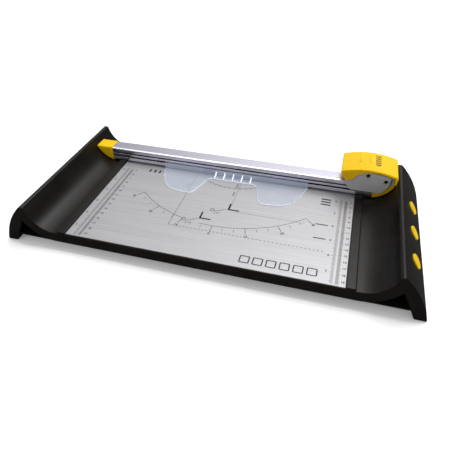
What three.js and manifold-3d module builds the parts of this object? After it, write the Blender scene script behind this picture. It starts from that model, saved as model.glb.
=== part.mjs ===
// Rotary paper trimmer for A4 sheets. Millimetres, +X right, +Y back, +Z up.
// Origin: middle of the footprint, on the desk. A sheet lies on the bed with its
// edge under the rail; the carriage runs along the rail, and its blade cuts at
// the cut line behind the rail while the yellow cover is held down.
import * as THREE from 'three';
import { mergeVertices } from 'three/addons/utils/BufferGeometryUtils.js';
import Module from 'manifold-3d';

const wasm = await Module();
wasm.setup();

// ---- Driving dimensions ----------------------------------------------------
const CLEARANCE = 0.3;
const WALL = 3;
const EPS = 1;

const BASE_FRONT = -106;
const BASE_REAR = 106;
const BED_TOP = 25;
const SLAB_BOTTOM = 11;
const CUT_LINE_Y = 92;

const PLATE_HALF_WIDTH = 159;
const PLATE_THICKNESS = 1;
const PLATE_FRONT = -104.4;
const PLATE_REAR = 86;

const FENCE_OUTER_X = 169;
const FENCE_TOP = 27.1;

const MAT_HALF_LENGTH = 171;
const MAT_WIDTH = 8;
const MAT_TOP = 25.3;
const MAT_THICKNESS = 2;
const BLADE_LANE_WIDTH = 12;

// The wing is a ribbon of even thickness: a round dish inside, a long arc outside.
const DISH = { x: 172.5, z: 58, r: 34 };
const RIBBON = 13;
const FLANK = { x: 137.4, z: -25.4, r: 108 };
const RIDGE_RADIUS = 3.6;
const REAR_CORNER = { y: 99, z: 47, r: 7 };
const APEX_ANGLE = THREE.MathUtils.degToRad(-30.8);
const FOOT_INNER_X = 229.4;
const FOOT_BOTTOM = 0.6;
const FOOT_FLOOR_TOP = 5;
const WEB_OUTER_X = 168;
const WEB_INNER_X = 165;
const BED_CAVITY_TOP = 21.5;
const LINER_THICKNESS = 2;
const LIP_SETBACK = 1;

const RUBBER_FOOT = { x: 235.8, y: 84, width: 8, depth: 26, sink: 1.4 };
const COVER_SCREW_SPOTS = [[-140, -85], [0, -85], [140, -85], [-140, 78], [0, 78], [140, 78]];

const RAIL_HALF_LENGTH = 179;
const RAIL_FRONT = 60.5;
const RAIL_REAR = 80;
const RAIL_BOTTOM = 27.5;
const RAIL_TOP = 45;
const GROOVE = { low: 37.4, high: 39.4, depth: 1.5 };
const SLOT = { low: 32, high: 34.5, depth: 3 };
const RAIL_HOLLOW = { front: 64.8, rear: 78.2, low: 29.2, high: 43.2 };

const CAP_TOP = 45.6;
const CAP_SCREW = { x: 188, y: 71, head: 19.5, seat: 21.5, tip: 38 };

const GUARD_HINGE = { y: 61.7, z: 33.2 };
const GUARD_BOTTOM = 25.3;
const GUARD_SHEET = 1.5;
const GUARD_HALF_WIDTH = 99;
const GUARD_STRIP = { front: 58.8, rear: 60.2 };
const GUARD_RIB_PITCH = 12.2;

const CARRIAGE_X = 170.3;
const CARRIAGE_LEFT = 143;
const CARRIAGE_RIGHT = 200.8;
const GLIDE_HALF = 8.3;
const SADDLE_BOTTOM = 46;
const SADDLE_TOP = 49;
const CHEEK = { x: 169.4, z: 56, r: 27.6, bottom: 35.2, front: 57, rear: 60 };
const CHEEK_SCREWS = [{ x: 169.8, z: 57.8 }, { x: 191.7, z: 52.2 }];
const UPRIGHT_REAR = 63;
const SKIRT = { front: 80.4, rear: 82.8, low: 33, half: 20 };
const SPRING_OFFSET_X = 15;
const SPRING_Y = 72;

const COVER_FRONT = 54;
const COVER_REAR = 100;
const COVER_HALF = 34.1;
const COVER_SKIN = 2;
const ARCH_CROWN = 68.3;
const ARCH_RADIUS = 98;
const COVER_END_LOW = 49.8;
const COVER_LEFT_LOW = 56;
const REAR_WALL_LOW = 37;
const PRESS_TRAVEL = 3.5;

const BLADE = { x: 170, z: 43, r: 14, thickness: 0.6 };
const CARTRIDGE = { r: 16, low: 31, inner: 0.7, outer: 4.5 };
const HOLDER = { front: 83.4, half: 17, low: 33, top: 62.8 };
const AXLE_RADIUS = 2;

const SPARE_ANGLE = THREE.MathUtils.degToRad(35.5);
const SPARE_Y = [34, -13, -60];
const SPARE = { hubRadius: 8.3, holeRadius: 8.7, bodyRadius: 16, bodyTop: 4.8, bodyBottom: 7.2 };

// ---- Materials -------------------------------------------------------------
function finish(color, roughness, metalness) {
  return () => new THREE.MeshStandardMaterial({ color, roughness, metalness });
}

const BLACK_PLASTIC = finish(0x1f1e1d, 0.42, 0);
const YELLOW_PLASTIC = finish(0xffd21f, 0.35, 0);
const GREY_PLASTIC = finish(0x7f7c80, 0.45, 0);
const PALE_PLASTIC = finish(0xa9a8ac, 0.45, 0);
const WHITE_NYLON = finish(0xe2e0d8, 0.5, 0);
const RUBBER = finish(0x2b2a2a, 0.85, 0);
const BRUSHED_PLATE = finish(0xc6c6ca, 0.38, 0.85);
const ALUMINIUM = finish(0xb4b0bb, 0.3, 0.9);
const STEEL = finish(0x8d9094, 0.28, 1);
const BLADE_STEEL = finish(0xcfd3d8, 0.15, 1);
const CLEAR_BLUE = () => new THREE.MeshStandardMaterial({
  color: 0xc9d3e0, roughness: 0.12, metalness: 0, transparent: true, opacity: 0.45,
});

// ---- Solids ----------------------------------------------------------------
function toSolid(geometry) {
  const bare = geometry.clone();
  bare.deleteAttribute('normal');
  bare.deleteAttribute('uv');
  const merged = mergeVertices(bare, 1e-4);
  return new wasm.Manifold(new wasm.Mesh({
    numProp: 3,
    vertProperties: new Float32Array(merged.attributes.position.array),
    triVerts: new Uint32Array(merged.index.array),
  }));
}

function toGeometry(solid) {
  const mesh = solid.getMesh();
  const geometry = new THREE.BufferGeometry();
  geometry.setAttribute('position', new THREE.BufferAttribute(mesh.vertProperties, 3));
  geometry.setIndex(new THREE.BufferAttribute(mesh.triVerts, 1));
  geometry.computeVertexNormals();
  return geometry;
}

function join(...solids) {
  return solids.reduce((sum, solid) => sum.add(solid));
}

function cut(solid, ...tools) {
  return tools.reduce((rest, tool) => rest.subtract(tool), solid);
}

function box(x0, x1, y0, y1, z0, z1) {
  const geometry = new THREE.BoxGeometry(x1 - x0, y1 - y0, z1 - z0);
  geometry.translate((x0 + x1) / 2, (y0 + y1) / 2, (z0 + z1) / 2);
  return toSolid(geometry);
}

// Flat outline -> solid. axes maps the outline's two directions and the depth.
function extrude(points, depth, axes, origin) {
  const geometry = new THREE.ExtrudeGeometry(new THREE.Shape(points), {
    depth, bevelEnabled: false, curveSegments: 1,
  });
  geometry.applyMatrix4(new THREE.Matrix4().makeBasis(...axes));
  geometry.translate(origin.x, origin.y, origin.z);
  return toSolid(geometry);
}

const X_AXIS = new THREE.Vector3(1, 0, 0);
const Y_AXIS = new THREE.Vector3(0, 1, 0);
const Z_AXIS = new THREE.Vector3(0, 0, 1);

// Outline in (x, z), running from y0 to y1.
function alongY(points, y0, y1) {
  const axes = [X_AXIS, Z_AXIS, Y_AXIS.clone().negate()];
  return extrude(points, y1 - y0, axes, new THREE.Vector3(0, y1, 0));
}

// Outline in (y, z), running from x0 to x1.
function alongX(points, x0, x1) {
  return extrude(points, x1 - x0, [Y_AXIS, Z_AXIS, X_AXIS], new THREE.Vector3(x0, 0, 0));
}

// Outline in (x, y), running from z0 to z1.
function alongZ(points, z0, z1) {
  return extrude(points, z1 - z0, [X_AXIS, Y_AXIS, Z_AXIS], new THREE.Vector3(0, 0, z0));
}

function rodZ(x, y, z0, z1, radius, segments = 16) {
  const geometry = new THREE.CylinderGeometry(radius, radius, z1 - z0, segments);
  geometry.rotateX(Math.PI / 2);
  geometry.translate(x, y, (z0 + z1) / 2);
  return toSolid(geometry);
}

function rodY(x, z, y0, y1, radius, segments = 20) {
  const geometry = new THREE.CylinderGeometry(radius, radius, y1 - y0, segments);
  geometry.translate(x, (y0 + y1) / 2, z);
  return toSolid(geometry);
}

function rodX(y, z, x0, x1, radius, segments = 12) {
  const geometry = new THREE.CylinderGeometry(radius, radius, x1 - x0, segments);
  geometry.rotateZ(Math.PI / 2);
  geometry.translate((x0 + x1) / 2, y, z);
  return toSolid(geometry);
}

// ---- Outlines --------------------------------------------------------------
function point(x, z) {
  return new THREE.Vector2(x, z);
}

function onCircle(circle, radius, angle) {
  return point(circle.x + radius * Math.cos(angle), circle.z + radius * Math.sin(angle));
}

function arc(circle, radius, from, to, steps) {
  const points = [];
  for (let i = 0; i <= steps; i += 1) {
    points.push(onCircle(circle, radius, from + ((to - from) * i) / steps));
  }
  return points;
}

function mirrored(points, side) {
  return points.map((p) => point(side * p.x, p.y));
}

function angleFrom(circle, p) {
  return Math.atan2(p.y - circle.z, p.x - circle.x);
}

// The meeting point, on the outer side, of two circles round the flank and dish centres.
function flankMeetsDish(flankRadius, dishRadius) {
  const dx = DISH.x - FLANK.x;
  const dz = DISH.z - FLANK.z;
  const apart = Math.hypot(dx, dz);
  const along = (flankRadius ** 2 - dishRadius ** 2 + apart ** 2) / (2 * apart);
  const across = Math.sqrt(flankRadius ** 2 - along ** 2);
  return point(
    FLANK.x + (along * dx + across * dz) / apart,
    FLANK.z + (along * dz - across * dx) / apart,
  );
}

function flankAngleAt(radius, z) {
  return Math.asin((z - FLANK.z) / radius);
}

// Right half of the base section, from the middle of its underside to the middle of its top.
function baseHalfOutline() {
  const ridge = flankMeetsDish(FLANK.r - RIDGE_RADIUS, DISH.r + RIDGE_RADIUS);
  const ridgeCircle = { x: ridge.x, z: ridge.y };
  const flankEnd = angleFrom(FLANK, ridge);
  const dishEnd = angleFrom(DISH, ridge);
  return [
    point(0, SLAB_BOTTOM),
    ...arc(DISH, DISH.r + RIBBON, -Math.PI / 2, APEX_ANGLE, 10),
    point(FOOT_INNER_X, FOOT_BOTTOM),
    ...arc(FLANK, FLANK.r, flankAngleAt(FLANK.r, FOOT_BOTTOM), flankEnd, 14),
    ...arc(ridgeCircle, RIDGE_RADIUS, flankEnd, dishEnd + Math.PI, 4).slice(1, -1),
    ...arc(DISH, DISH.r, dishEnd, -Math.PI / 2, 14),
    point(FENCE_OUTER_X, DISH.z - DISH.r),
    point(FENCE_OUTER_X, FENCE_TOP),
    point(PLATE_HALF_WIDTH, FENCE_TOP),
    point(PLATE_HALF_WIDTH, BED_TOP),
  ];
}

function baseOutline() {
  const right = baseHalfOutline();
  const left = mirrored(right, -1).slice(1).reverse();
  return [...right, ...left];
}

function wingCavityOutline(side) {
  const top = flankMeetsDish(FLANK.r - WALL, DISH.r + WALL);
  return mirrored([
    point(WEB_OUTER_X, FOOT_FLOOR_TOP),
    ...arc(
      FLANK, FLANK.r - WALL,
      flankAngleAt(FLANK.r - WALL, FOOT_FLOOR_TOP), angleFrom(FLANK, top), 12,
    ),
    ...arc(DISH, DISH.r + WALL, angleFrom(DISH, top), -Math.PI / 2, 12).slice(1),
    point(WEB_OUTER_X, DISH.z - DISH.r - WALL),
  ], side);
}

// The foot's inner side slopes outwards from its peak under the dish to the ground.
function footInnerSlope() {
  const peak = onCircle(DISH, DISH.r + RIBBON, APEX_ANGLE);
  return (FOOT_INNER_X - peak.x) / (peak.y - FOOT_BOTTOM);
}

function footInnerXAt(z) {
  return FOOT_INNER_X - (z - FOOT_BOTTOM) * footInnerSlope();
}

// The sheet that closes a wing from below: level with the slab, then down the foot.
function linerOutline(side) {
  const low = SLAB_BOTTOM;
  const high = SLAB_BOTTOM + LINER_THICKNESS;
  const foot = FOOT_FLOOR_TOP + CLEARANCE;
  const legWidth = LINER_THICKNESS * Math.hypot(1, footInnerSlope());
  return mirrored([
    point(WEB_OUTER_X + CLEARANCE, low),
    point(footInnerXAt(low), low),
    point(footInnerXAt(foot), foot),
    point(footInnerXAt(foot) + legWidth, foot),
    point(footInnerXAt(high) + legWidth, high),
    point(WEB_OUTER_X + CLEARANCE, high),
  ], side);
}

// The sheet's lips pass under the arches of the wing's end walls.
function lipOutline(side) {
  const low = SLAB_BOTTOM;
  const high = SLAB_BOTTOM + LINER_THICKNESS;
  const arch = DISH.r + RIBBON + CLEARANCE;
  const archAngleAt = (z) => -Math.asin((DISH.z - z) / arch);
  const gap = CLEARANCE * Math.hypot(1, footInnerSlope());
  return mirrored([
    ...arc(DISH, arch, archAngleAt(high), archAngleAt(low), 3),
    point(footInnerXAt(low) - gap, low),
    point(footInnerXAt(high) - gap, high),
  ], side);
}

function archZ(x, drop) {
  return ARCH_CROWN - drop - (x - CARRIAGE_X) ** 2 / (2 * ARCH_RADIUS);
}

// Points of the arched top, from high x to low x, dropped below the cover's skin.
function archPoints(xLow, xHigh, drop, steps) {
  const points = [];
  for (let i = 0; i <= steps; i += 1) {
    const x = xHigh + ((xLow - xHigh) * i) / steps;
    points.push(point(x, archZ(x, drop)));
  }
  return points;
}

// ---- Base ------------------------------------------------------------------
// Rounds off the top of the wings' rear ends.
function rearCornerCutter() {
  const ridgeClear = 60;
  const outline = [];
  for (let i = 0; i <= 6; i += 1) {
    const angle = (i * Math.PI) / 12;
    outline.push(point(
      REAR_CORNER.y + REAR_CORNER.r * Math.cos(angle),
      REAR_CORNER.z + REAR_CORNER.r * Math.sin(angle),
    ));
  }
  outline.push(point(REAR_CORNER.y, ridgeClear));
  outline.push(point(BASE_REAR + EPS, ridgeClear));
  outline.push(point(BASE_REAR + EPS, REAR_CORNER.z));
  return alongX(outline, -FOOT_INNER_X, FOOT_INNER_X);
}

function topShell() {
  const ribbon = cut(alongY(baseOutline(), BASE_FRONT, BASE_REAR), rearCornerCutter());
  const cavityFront = BASE_FRONT + WALL;
  const cavityRear = BASE_REAR - WALL;
  const bedCavity = box(
    -WEB_INNER_X, WEB_INNER_X, cavityFront, cavityRear, SLAB_BOTTOM - EPS, BED_CAVITY_TOP,
  );
  const wingCavities = [-1, 1].map((side) => alongY(wingCavityOutline(side), cavityFront, cavityRear));
  const plateRecess = box(
    -PLATE_HALF_WIDTH, PLATE_HALF_WIDTH, PLATE_FRONT, PLATE_REAR,
    BED_TOP - PLATE_THICKNESS, BED_TOP + EPS,
  );
  const half = MAT_WIDTH / 2 + CLEARANCE;
  const matLength = MAT_HALF_LENGTH + CLEARANCE;
  const matChannel = box(
    -matLength, matLength, CUT_LINE_Y - half, CUT_LINE_Y + half,
    MAT_TOP - MAT_THICKNESS, MAT_TOP + EPS,
  );
  const lane = BLADE_LANE_WIDTH / 2;
  const bladeLane = box(
    -FENCE_OUTER_X - EPS, FENCE_OUTER_X + EPS, CUT_LINE_Y - lane, CUT_LINE_Y + lane,
    BED_TOP, FENCE_TOP + EPS,
  );
  let shell = cut(ribbon, bedCavity, ...wingCavities, plateRecess, matChannel, bladeLane);

  const coverTop = SLAB_BOTTOM + LINER_THICKNESS;
  for (const [x, y] of COVER_SCREW_SPOTS) {
    shell = shell.add(rodZ(x, y, coverTop, BED_CAVITY_TOP + EPS, 4));
    shell = shell.subtract(rodZ(x, y, coverTop - EPS, coverTop + 7, 1.8, 10));
  }
  for (const side of [-1, 1]) {
    const boss = rodZ(side * CAP_SCREW.x, CAP_SCREW.y, CAP_SCREW.seat, CAP_SCREW.tip, 4.5);
    shell = shell.add(boss.intersect(ribbon));
    shell = shell.subtract(rodZ(side * CAP_SCREW.x, CAP_SCREW.y, 15, CAP_SCREW.tip, 1.8, 10));
    for (const end of [-1, 1]) {
      shell = shell.subtract(rubberFootSolid(side, end, CLEARANCE));
    }
  }
  for (const y of SPARE_Y) {
    shell = shell.subtract(spareHole(y));
  }
  return shell;
}

function rubberFootSolid(side, end, gap) {
  const x = side * RUBBER_FOOT.x;
  const y = end * RUBBER_FOOT.y;
  const halfWidth = RUBBER_FOOT.width / 2 + gap;
  const halfDepth = RUBBER_FOOT.depth / 2 + gap;
  return box(
    x - halfWidth, x + halfWidth, y - halfDepth, y + halfDepth, 0, FOOT_BOTTOM + RUBBER_FOOT.sink,
  );
}

function bottomCover() {
  const halfWidth = WEB_INNER_X - CLEARANCE;
  const halfDepth = BASE_REAR - WALL - CLEARANCE;
  let cover = box(
    -halfWidth, halfWidth, -halfDepth, halfDepth, SLAB_BOTTOM, SLAB_BOTTOM + LINER_THICKNESS,
  );
  for (const [x, y] of COVER_SCREW_SPOTS) {
    cover = cover.subtract(rodZ(x, y, SLAB_BOTTOM - EPS, BED_TOP, 1.8, 10));
  }
  return cover;
}

function wingLiner(side) {
  const front = BASE_FRONT + WALL + CLEARANCE;
  const rear = BASE_REAR - WALL - CLEARANCE;
  const sheet = alongY(linerOutline(side), front, rear);
  const lips = alongY(lipOutline(side), BASE_FRONT + LIP_SETBACK, BASE_REAR - LIP_SETBACK);
  return join(sheet, lips);
}

function bedPlate() {
  const gap = CLEARANCE / 2;
  return box(
    -PLATE_HALF_WIDTH + gap, PLATE_HALF_WIDTH - gap, PLATE_FRONT + gap, PLATE_REAR - gap,
    BED_TOP - PLATE_THICKNESS, BED_TOP,
  );
}

function cuttingMat() {
  return box(
    -MAT_HALF_LENGTH, MAT_HALF_LENGTH, CUT_LINE_Y - MAT_WIDTH / 2, CUT_LINE_Y + MAT_WIDTH / 2,
    MAT_TOP - MAT_THICKNESS, MAT_TOP,
  );
}

// Pan-head screw pointing up, turned on a lathe: the head's underside is at its origin.
function screwGeometry(headRadius, headHeight, shankRadius, length) {
  const profile = [
    [0, -headHeight], [headRadius * 0.7, -headHeight], [headRadius, -headHeight * 0.4],
    [headRadius, 0], [shankRadius, 0], [shankRadius, length - shankRadius], [0, length],
  ];
  const geometry = new THREE.LatheGeometry(profile.map(([r, y]) => new THREE.Vector2(r, y)), 12);
  geometry.rotateX(Math.PI / 2);
  return toGeometry(toSolid(geometry));
}

// ---- Rail ------------------------------------------------------------------
function rail() {
  const slotBack = RAIL_FRONT + SLOT.depth;
  const grooveFront = RAIL_FRONT + GROOVE.depth;
  const grooveRear = RAIL_REAR - GROOVE.depth;
  const outline = [
    point(RAIL_FRONT, RAIL_BOTTOM),
    point(RAIL_REAR, RAIL_BOTTOM),
    point(RAIL_REAR, GROOVE.low),
    point(grooveRear, GROOVE.low),
    point(grooveRear, GROOVE.high),
    point(RAIL_REAR, GROOVE.high),
    point(RAIL_REAR, RAIL_TOP),
    point(RAIL_FRONT + 1, RAIL_TOP),
    point(RAIL_FRONT, RAIL_TOP - 1),
    point(RAIL_FRONT, GROOVE.high),
    point(grooveFront, GROOVE.high),
    point(grooveFront, GROOVE.low),
    point(RAIL_FRONT, GROOVE.low),
    point(RAIL_FRONT, SLOT.high),
    point(slotBack, SLOT.high),
    point(slotBack, SLOT.low),
    point(RAIL_FRONT, SLOT.low),
  ];
  const hollow = box(
    -RAIL_HALF_LENGTH - EPS, RAIL_HALF_LENGTH + EPS,
    RAIL_HOLLOW.front, RAIL_HOLLOW.rear, RAIL_HOLLOW.low, RAIL_HOLLOW.high,
  );
  return cut(alongX(outline, -RAIL_HALF_LENGTH, RAIL_HALF_LENGTH), hollow);
}

// Rail end cap: sits in the dish of the wing, with a tongue in the rail's hollow.
function railCap(side) {
  const radius = DISH.r - CLEARANCE;
  const inner = RAIL_HALF_LENGTH + CLEARANCE;
  const from = -Math.acos((inner - DISH.x) / radius);
  const to = Math.asin((CAP_TOP - DISH.z) / radius);
  const body = alongY(
    mirrored([...arc(DISH, radius, from, to, 12), point(inner, CAP_TOP)], side),
    RAIL_FRONT - 0.2, RAIL_REAR,
  );
  const tongueEnds = [side * (RAIL_HALF_LENGTH - 12), side * (inner + EPS)].sort((a, b) => a - b);
  const tongue = box(
    ...tongueEnds,
    RAIL_HOLLOW.front + CLEARANCE, RAIL_HOLLOW.rear - CLEARANCE,
    RAIL_HOLLOW.low + CLEARANCE, RAIL_HOLLOW.high - CLEARANCE,
  );
  const bore = rodZ(side * CAP_SCREW.x, CAP_SCREW.y, 20, CAP_SCREW.tip + 0.5, 1.8, 10);
  return cut(join(body, tongue), bore);
}

// ---- Paper guard -----------------------------------------------------------
// Right half of the clear sheet seen from above: a narrow middle and a wide lobe.
function guardHalfOutline() {
  return [
    [GUARD_HALF_WIDTH, GUARD_STRIP.rear], [GUARD_HALF_WIDTH - 2.6, 48], [95.2, 37], [91.5, 28.5],
    [85.5, 21], [78, 15], [70, 11], [62, 9.6], [48, 9.6], [45.4, 10.6], [43.6, 13], [34.2, 45],
    [32.2, 48], [29, 49.2],
  ];
}

function paperGuard() {
  const half = guardHalfOutline();
  const outline = [
    ...half.map(([x, y]) => new THREE.Vector2(x, y)),
    ...half.map(([x, y]) => new THREE.Vector2(-x, y)).reverse(),
  ];
  const sheet = alongZ(outline, GUARD_BOTTOM, GUARD_BOTTOM + GUARD_SHEET);
  const thin = 0.6;
  const strip = box(
    -GUARD_HALF_WIDTH, GUARD_HALF_WIDTH, GUARD_STRIP.front, GUARD_STRIP.rear,
    GUARD_BOTTOM, GUARD_HINGE.z + thin,
  );
  const tongue = box(
    -GUARD_HALF_WIDTH, GUARD_HALF_WIDTH, GUARD_STRIP.front, GUARD_HINGE.y,
    GUARD_HINGE.z - thin, GUARD_HINGE.z + thin,
  );
  const bead = rodX(GUARD_HINGE.y, GUARD_HINGE.z, -GUARD_HALF_WIDTH, GUARD_HALF_WIDTH, 0.9, 10);
  const ribs = [];
  for (let i = -2; i <= 2; i += 1) {
    const x = i * GUARD_RIB_PITCH - 0.6;
    ribs.push(alongX([
      point(GUARD_STRIP.front + 0.5, 30), point(53.4, GUARD_BOTTOM + 1),
      point(GUARD_STRIP.front + 0.5, GUARD_BOTTOM + 1),
    ], x - 0.4, x + 0.4));
  }
  return join(sheet, strip, tongue, bead, ...ribs);
}

// ---- Carriage --------------------------------------------------------------
// Round cheek with a flat bottom; its top follows the cover's arch, one travel lower.
function cheekOutline() {
  const low = Math.asin((CHEEK.bottom - CHEEK.z) / CHEEK.r);
  const headroom = COVER_SKIN + PRESS_TRAVEL + 0.6;
  const shoulder = Math.PI / 45;
  const right = arc(CHEEK, CHEEK.r, low, shoulder, 9);
  const left = arc(CHEEK, CHEEK.r, Math.PI - shoulder, Math.PI - low, 9);
  return [...right, ...archPoints(CHEEK.x - 26, CHEEK.x + 26, headroom, 10), ...left];
}

function frontCheek() {
  let cheek = alongY(cheekOutline(), CHEEK.front, CHEEK.rear);
  for (const { x, z } of CHEEK_SCREWS) {
    cheek = cheek.subtract(rodY(x, z, CHEEK.front - EPS, CHEEK.front + 2, 2.5, 16));
    cheek = cheek.subtract(rodY(x, z, CHEEK.front, CHEEK.rear + EPS, 1.5, 10));
  }
  return cheek;
}

function carriageBody() {
  const saddle = box(
    CARRIAGE_LEFT, CARRIAGE_RIGHT, CHEEK.rear, SKIRT.rear, SADDLE_BOTTOM, SADDLE_TOP,
  );
  const headroom = COVER_SKIN + PRESS_TRAVEL + 0.6;
  const upright = alongY([
    point(CARRIAGE_LEFT, SADDLE_BOTTOM), point(CARRIAGE_RIGHT, SADDLE_BOTTOM),
    ...archPoints(CARRIAGE_LEFT, CARRIAGE_RIGHT, headroom, 10),
  ], CHEEK.rear, UPRIGHT_REAR);
  const skirt = box(
    CARRIAGE_X - SKIRT.half, CARRIAGE_X + SKIRT.half, SKIRT.front, SKIRT.rear,
    SKIRT.low, SADDLE_TOP,
  );
  const bores = CHEEK_SCREWS.map(({ x, z }) => rodY(x, z, CHEEK.rear - EPS, CHEEK.rear + 2.8, 1.5, 10));
  return cut(join(saddle, upright, skirt), ...bores);
}

// Short enough to stay on the rail, clear of both caps, at either end of the travel.
function glidePad(y0, y1) {
  return box(
    CARRIAGE_X - GLIDE_HALF, CARRIAGE_X + GLIDE_HALF, y0, y1,
    GROOVE.low + CLEARANCE, GROOVE.high - CLEARANCE,
  );
}

function springSpots() {
  return [-1, 1].map((side) => CARRIAGE_X + side * SPRING_OFFSET_X);
}

function guidePost(x) {
  return rodZ(x, SPRING_Y, SADDLE_TOP, 61, 2, 14);
}

class Helix extends THREE.Curve {
  constructor(radius, height, turns) {
    super();
    this.radius = radius;
    this.height = height;
    this.turns = turns;
  }

  getPoint(t, target = new THREE.Vector3()) {
    const angle = 2 * Math.PI * this.turns * t;
    return target.set(this.radius * Math.cos(angle), this.radius * Math.sin(angle), this.height * t);
  }
}

// Coil spring standing on its origin, up to the underside of the cover.
function springGeometry() {
  const wire = 0.45;
  const radius = 3.4;
  const ceiling = archZ(springSpots()[0] - radius - wire, COVER_SKIN);
  const height = ceiling - SADDLE_TOP - 2 * CLEARANCE - 2 * wire;
  const circle = new THREE.Shape();
  circle.absarc(0, 0, wire, 0, 2 * Math.PI, false);
  const geometry = new THREE.ExtrudeGeometry(circle, {
    steps: 44, curveSegments: 3, bevelEnabled: false, extrudePath: new Helix(radius, height, 5.5),
  });
  geometry.translate(0, 0, wire + CLEARANCE);
  return toGeometry(toSolid(geometry));
}

// ---- Press head ------------------------------------------------------------
// The arched hood seen from the front: its left end tucks in well under the arch.
function coverOutline() {
  const x0 = CARRIAGE_X - COVER_HALF;
  const x1 = CARRIAGE_X + COVER_HALF;
  const shoulder = archZ(x0, 0) - 1;
  return [
    point(x0 + 8, COVER_END_LOW), point(x1 - 1.6, COVER_END_LOW), point(x1, COVER_END_LOW + 3),
    point(x1, shoulder), ...archPoints(x0 + 1.5, x1 - 1.5, 0, 14), point(x0, shoulder),
    point(x0 + 1.4, shoulder - 3.4), point(x0 + 3.2, shoulder - 6.2), point(x0 + 5, shoulder - 9.6),
  ];
}

// The hood's hollow, open below; the left end wall stops above the cheek's widest part.
function coverHollowOutline() {
  const x0 = CARRIAGE_X - COVER_HALF + COVER_SKIN;
  const x1 = CARRIAGE_X + COVER_HALF - COVER_SKIN;
  const low = COVER_END_LOW - EPS;
  const outside = x0 - COVER_SKIN - EPS;
  const shoulder = archZ(x0, COVER_SKIN) - 1;
  return [
    point(outside, low), point(x1 - 1.6, low), point(x1, COVER_END_LOW + 3), point(x1, shoulder),
    ...archPoints(x0 + 1.5, x1 - 1.5, COVER_SKIN, 14), point(x0, shoulder),
    point(x0 + 2.2, COVER_LEFT_LOW), point(outside, COVER_LEFT_LOW),
  ];
}

// What is cut away under the front wall: an S-shaped lower edge, deep at the left.
function frontWindowOutline() {
  const edge = new THREE.SplineCurve([
    [149, 50.2], [152.6, 53.1], [156.1, 57.6], [160.8, 61.4], [168.8, 63.9], [180.5, 64.5],
    [189.1, 63], [197.1, 61.1], [206, 58.6],
  ].map(([x, z]) => new THREE.Vector2(x, z)));
  return [point(206, 40), point(146, 40), point(146, 49.8), ...edge.getPoints(20)];
}

// The rear wall reaches down round the blade, and stays clear of the wing beside it.
function rearWallOutline() {
  const low = Math.asin((REAR_WALL_LOW - CHEEK.z) / CHEEK.r);
  const side = Math.asin((COVER_END_LOW + COVER_SKIN - CHEEK.z) / CHEEK.r);
  return [
    ...arc(CHEEK, CHEEK.r, low, side, 8),
    ...arc(CHEEK, CHEEK.r, Math.PI - side, Math.PI - low, 8),
  ];
}

function pressCover() {
  const outside = alongY(coverOutline(), COVER_FRONT, COVER_REAR);
  const inside = alongY(
    coverHollowOutline(), COVER_FRONT + COVER_SKIN, COVER_REAR - COVER_SKIN,
  );
  const rearWall = alongY(rearWallOutline(), COVER_REAR - COVER_SKIN, COVER_REAR);
  const frontWindow = alongY(frontWindowOutline(), COVER_FRONT - EPS, COVER_FRONT + COVER_SKIN + 0.01);
  const seat = box(
    CARRIAGE_X - 14, CARRIAGE_X + 14, HOLDER.front, CUT_LINE_Y - CARTRIDGE.outer,
    HOLDER.top, archZ(CARRIAGE_X + 14, COVER_SKIN / 2),
  );
  return join(cut(outside, inside, frontWindow), rearWall, seat);
}

function bladeHolder() {
  const y1 = CUT_LINE_Y - CARTRIDGE.outer;
  const plate = box(
    BLADE.x - HOLDER.half, BLADE.x + HOLDER.half, HOLDER.front, y1, HOLDER.low, HOLDER.top,
  );
  return cut(plate, axleBore());
}

function axleBore() {
  return rodY(BLADE.x, BLADE.z, 80, 104, AXLE_RADIUS + CLEARANCE, 16);
}

function cartridgeDisc(y0, y1) {
  const low = Math.asin((CARTRIDGE.low - BLADE.z) / CARTRIDGE.r);
  return alongY(arc(BLADE, CARTRIDGE.r, low, Math.PI - low, 26), y0, y1);
}

function innerCartridge() {
  const disc = cartridgeDisc(CUT_LINE_Y - CARTRIDGE.outer, CUT_LINE_Y - CARTRIDGE.inner);
  return cut(disc, axleBore());
}

// The outer half carries the rim that spaces the two halves over the blade.
function outerCartridge() {
  const disc = cartridgeDisc(CUT_LINE_Y + CARTRIDGE.inner, CUT_LINE_Y + CARTRIDGE.outer);
  const rimOutline = [
    ...arc(BLADE, CARTRIDGE.r, Math.PI / 12, Math.PI * (11 / 12), 18),
    ...arc(BLADE, BLADE.r + 0.8, Math.PI * (11 / 12), Math.PI / 12, 18),
  ];
  const rim = alongY(
    rimOutline, CUT_LINE_Y - CARTRIDGE.inner, CUT_LINE_Y + CARTRIDGE.inner + 0.1,
  );
  return cut(join(disc, rim), axleBore());
}

function bladeAxle() {
  const head = CUT_LINE_Y + CARTRIDGE.outer;
  const shaft = rodY(BLADE.x, BLADE.z, HOLDER.front, head + 0.5, AXLE_RADIUS, 16);
  return join(shaft, rodY(BLADE.x, BLADE.z, head, head + 1, 4, 16));
}

function cuttingWheel() {
  const half = BLADE.thickness / 2;
  const bevel = 1.5;
  const disc = new THREE.LatheGeometry([
    new THREE.Vector2(AXLE_RADIUS + CLEARANCE, -half),
    new THREE.Vector2(BLADE.r - bevel, -half),
    new THREE.Vector2(BLADE.r, 0),
    new THREE.Vector2(BLADE.r - bevel, half),
    new THREE.Vector2(AXLE_RADIUS + CLEARANCE, half),
    new THREE.Vector2(AXLE_RADIUS + CLEARANCE, -half),
  ], 40);
  return toGeometry(toSolid(disc));
}

// ---- Spare cartridges in the right wing --------------------------------------
function spareCentre(y) {
  const p = onCircle(FLANK, FLANK.r, SPARE_ANGLE);
  return new THREE.Vector3(p.x, y, p.y);
}

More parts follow.
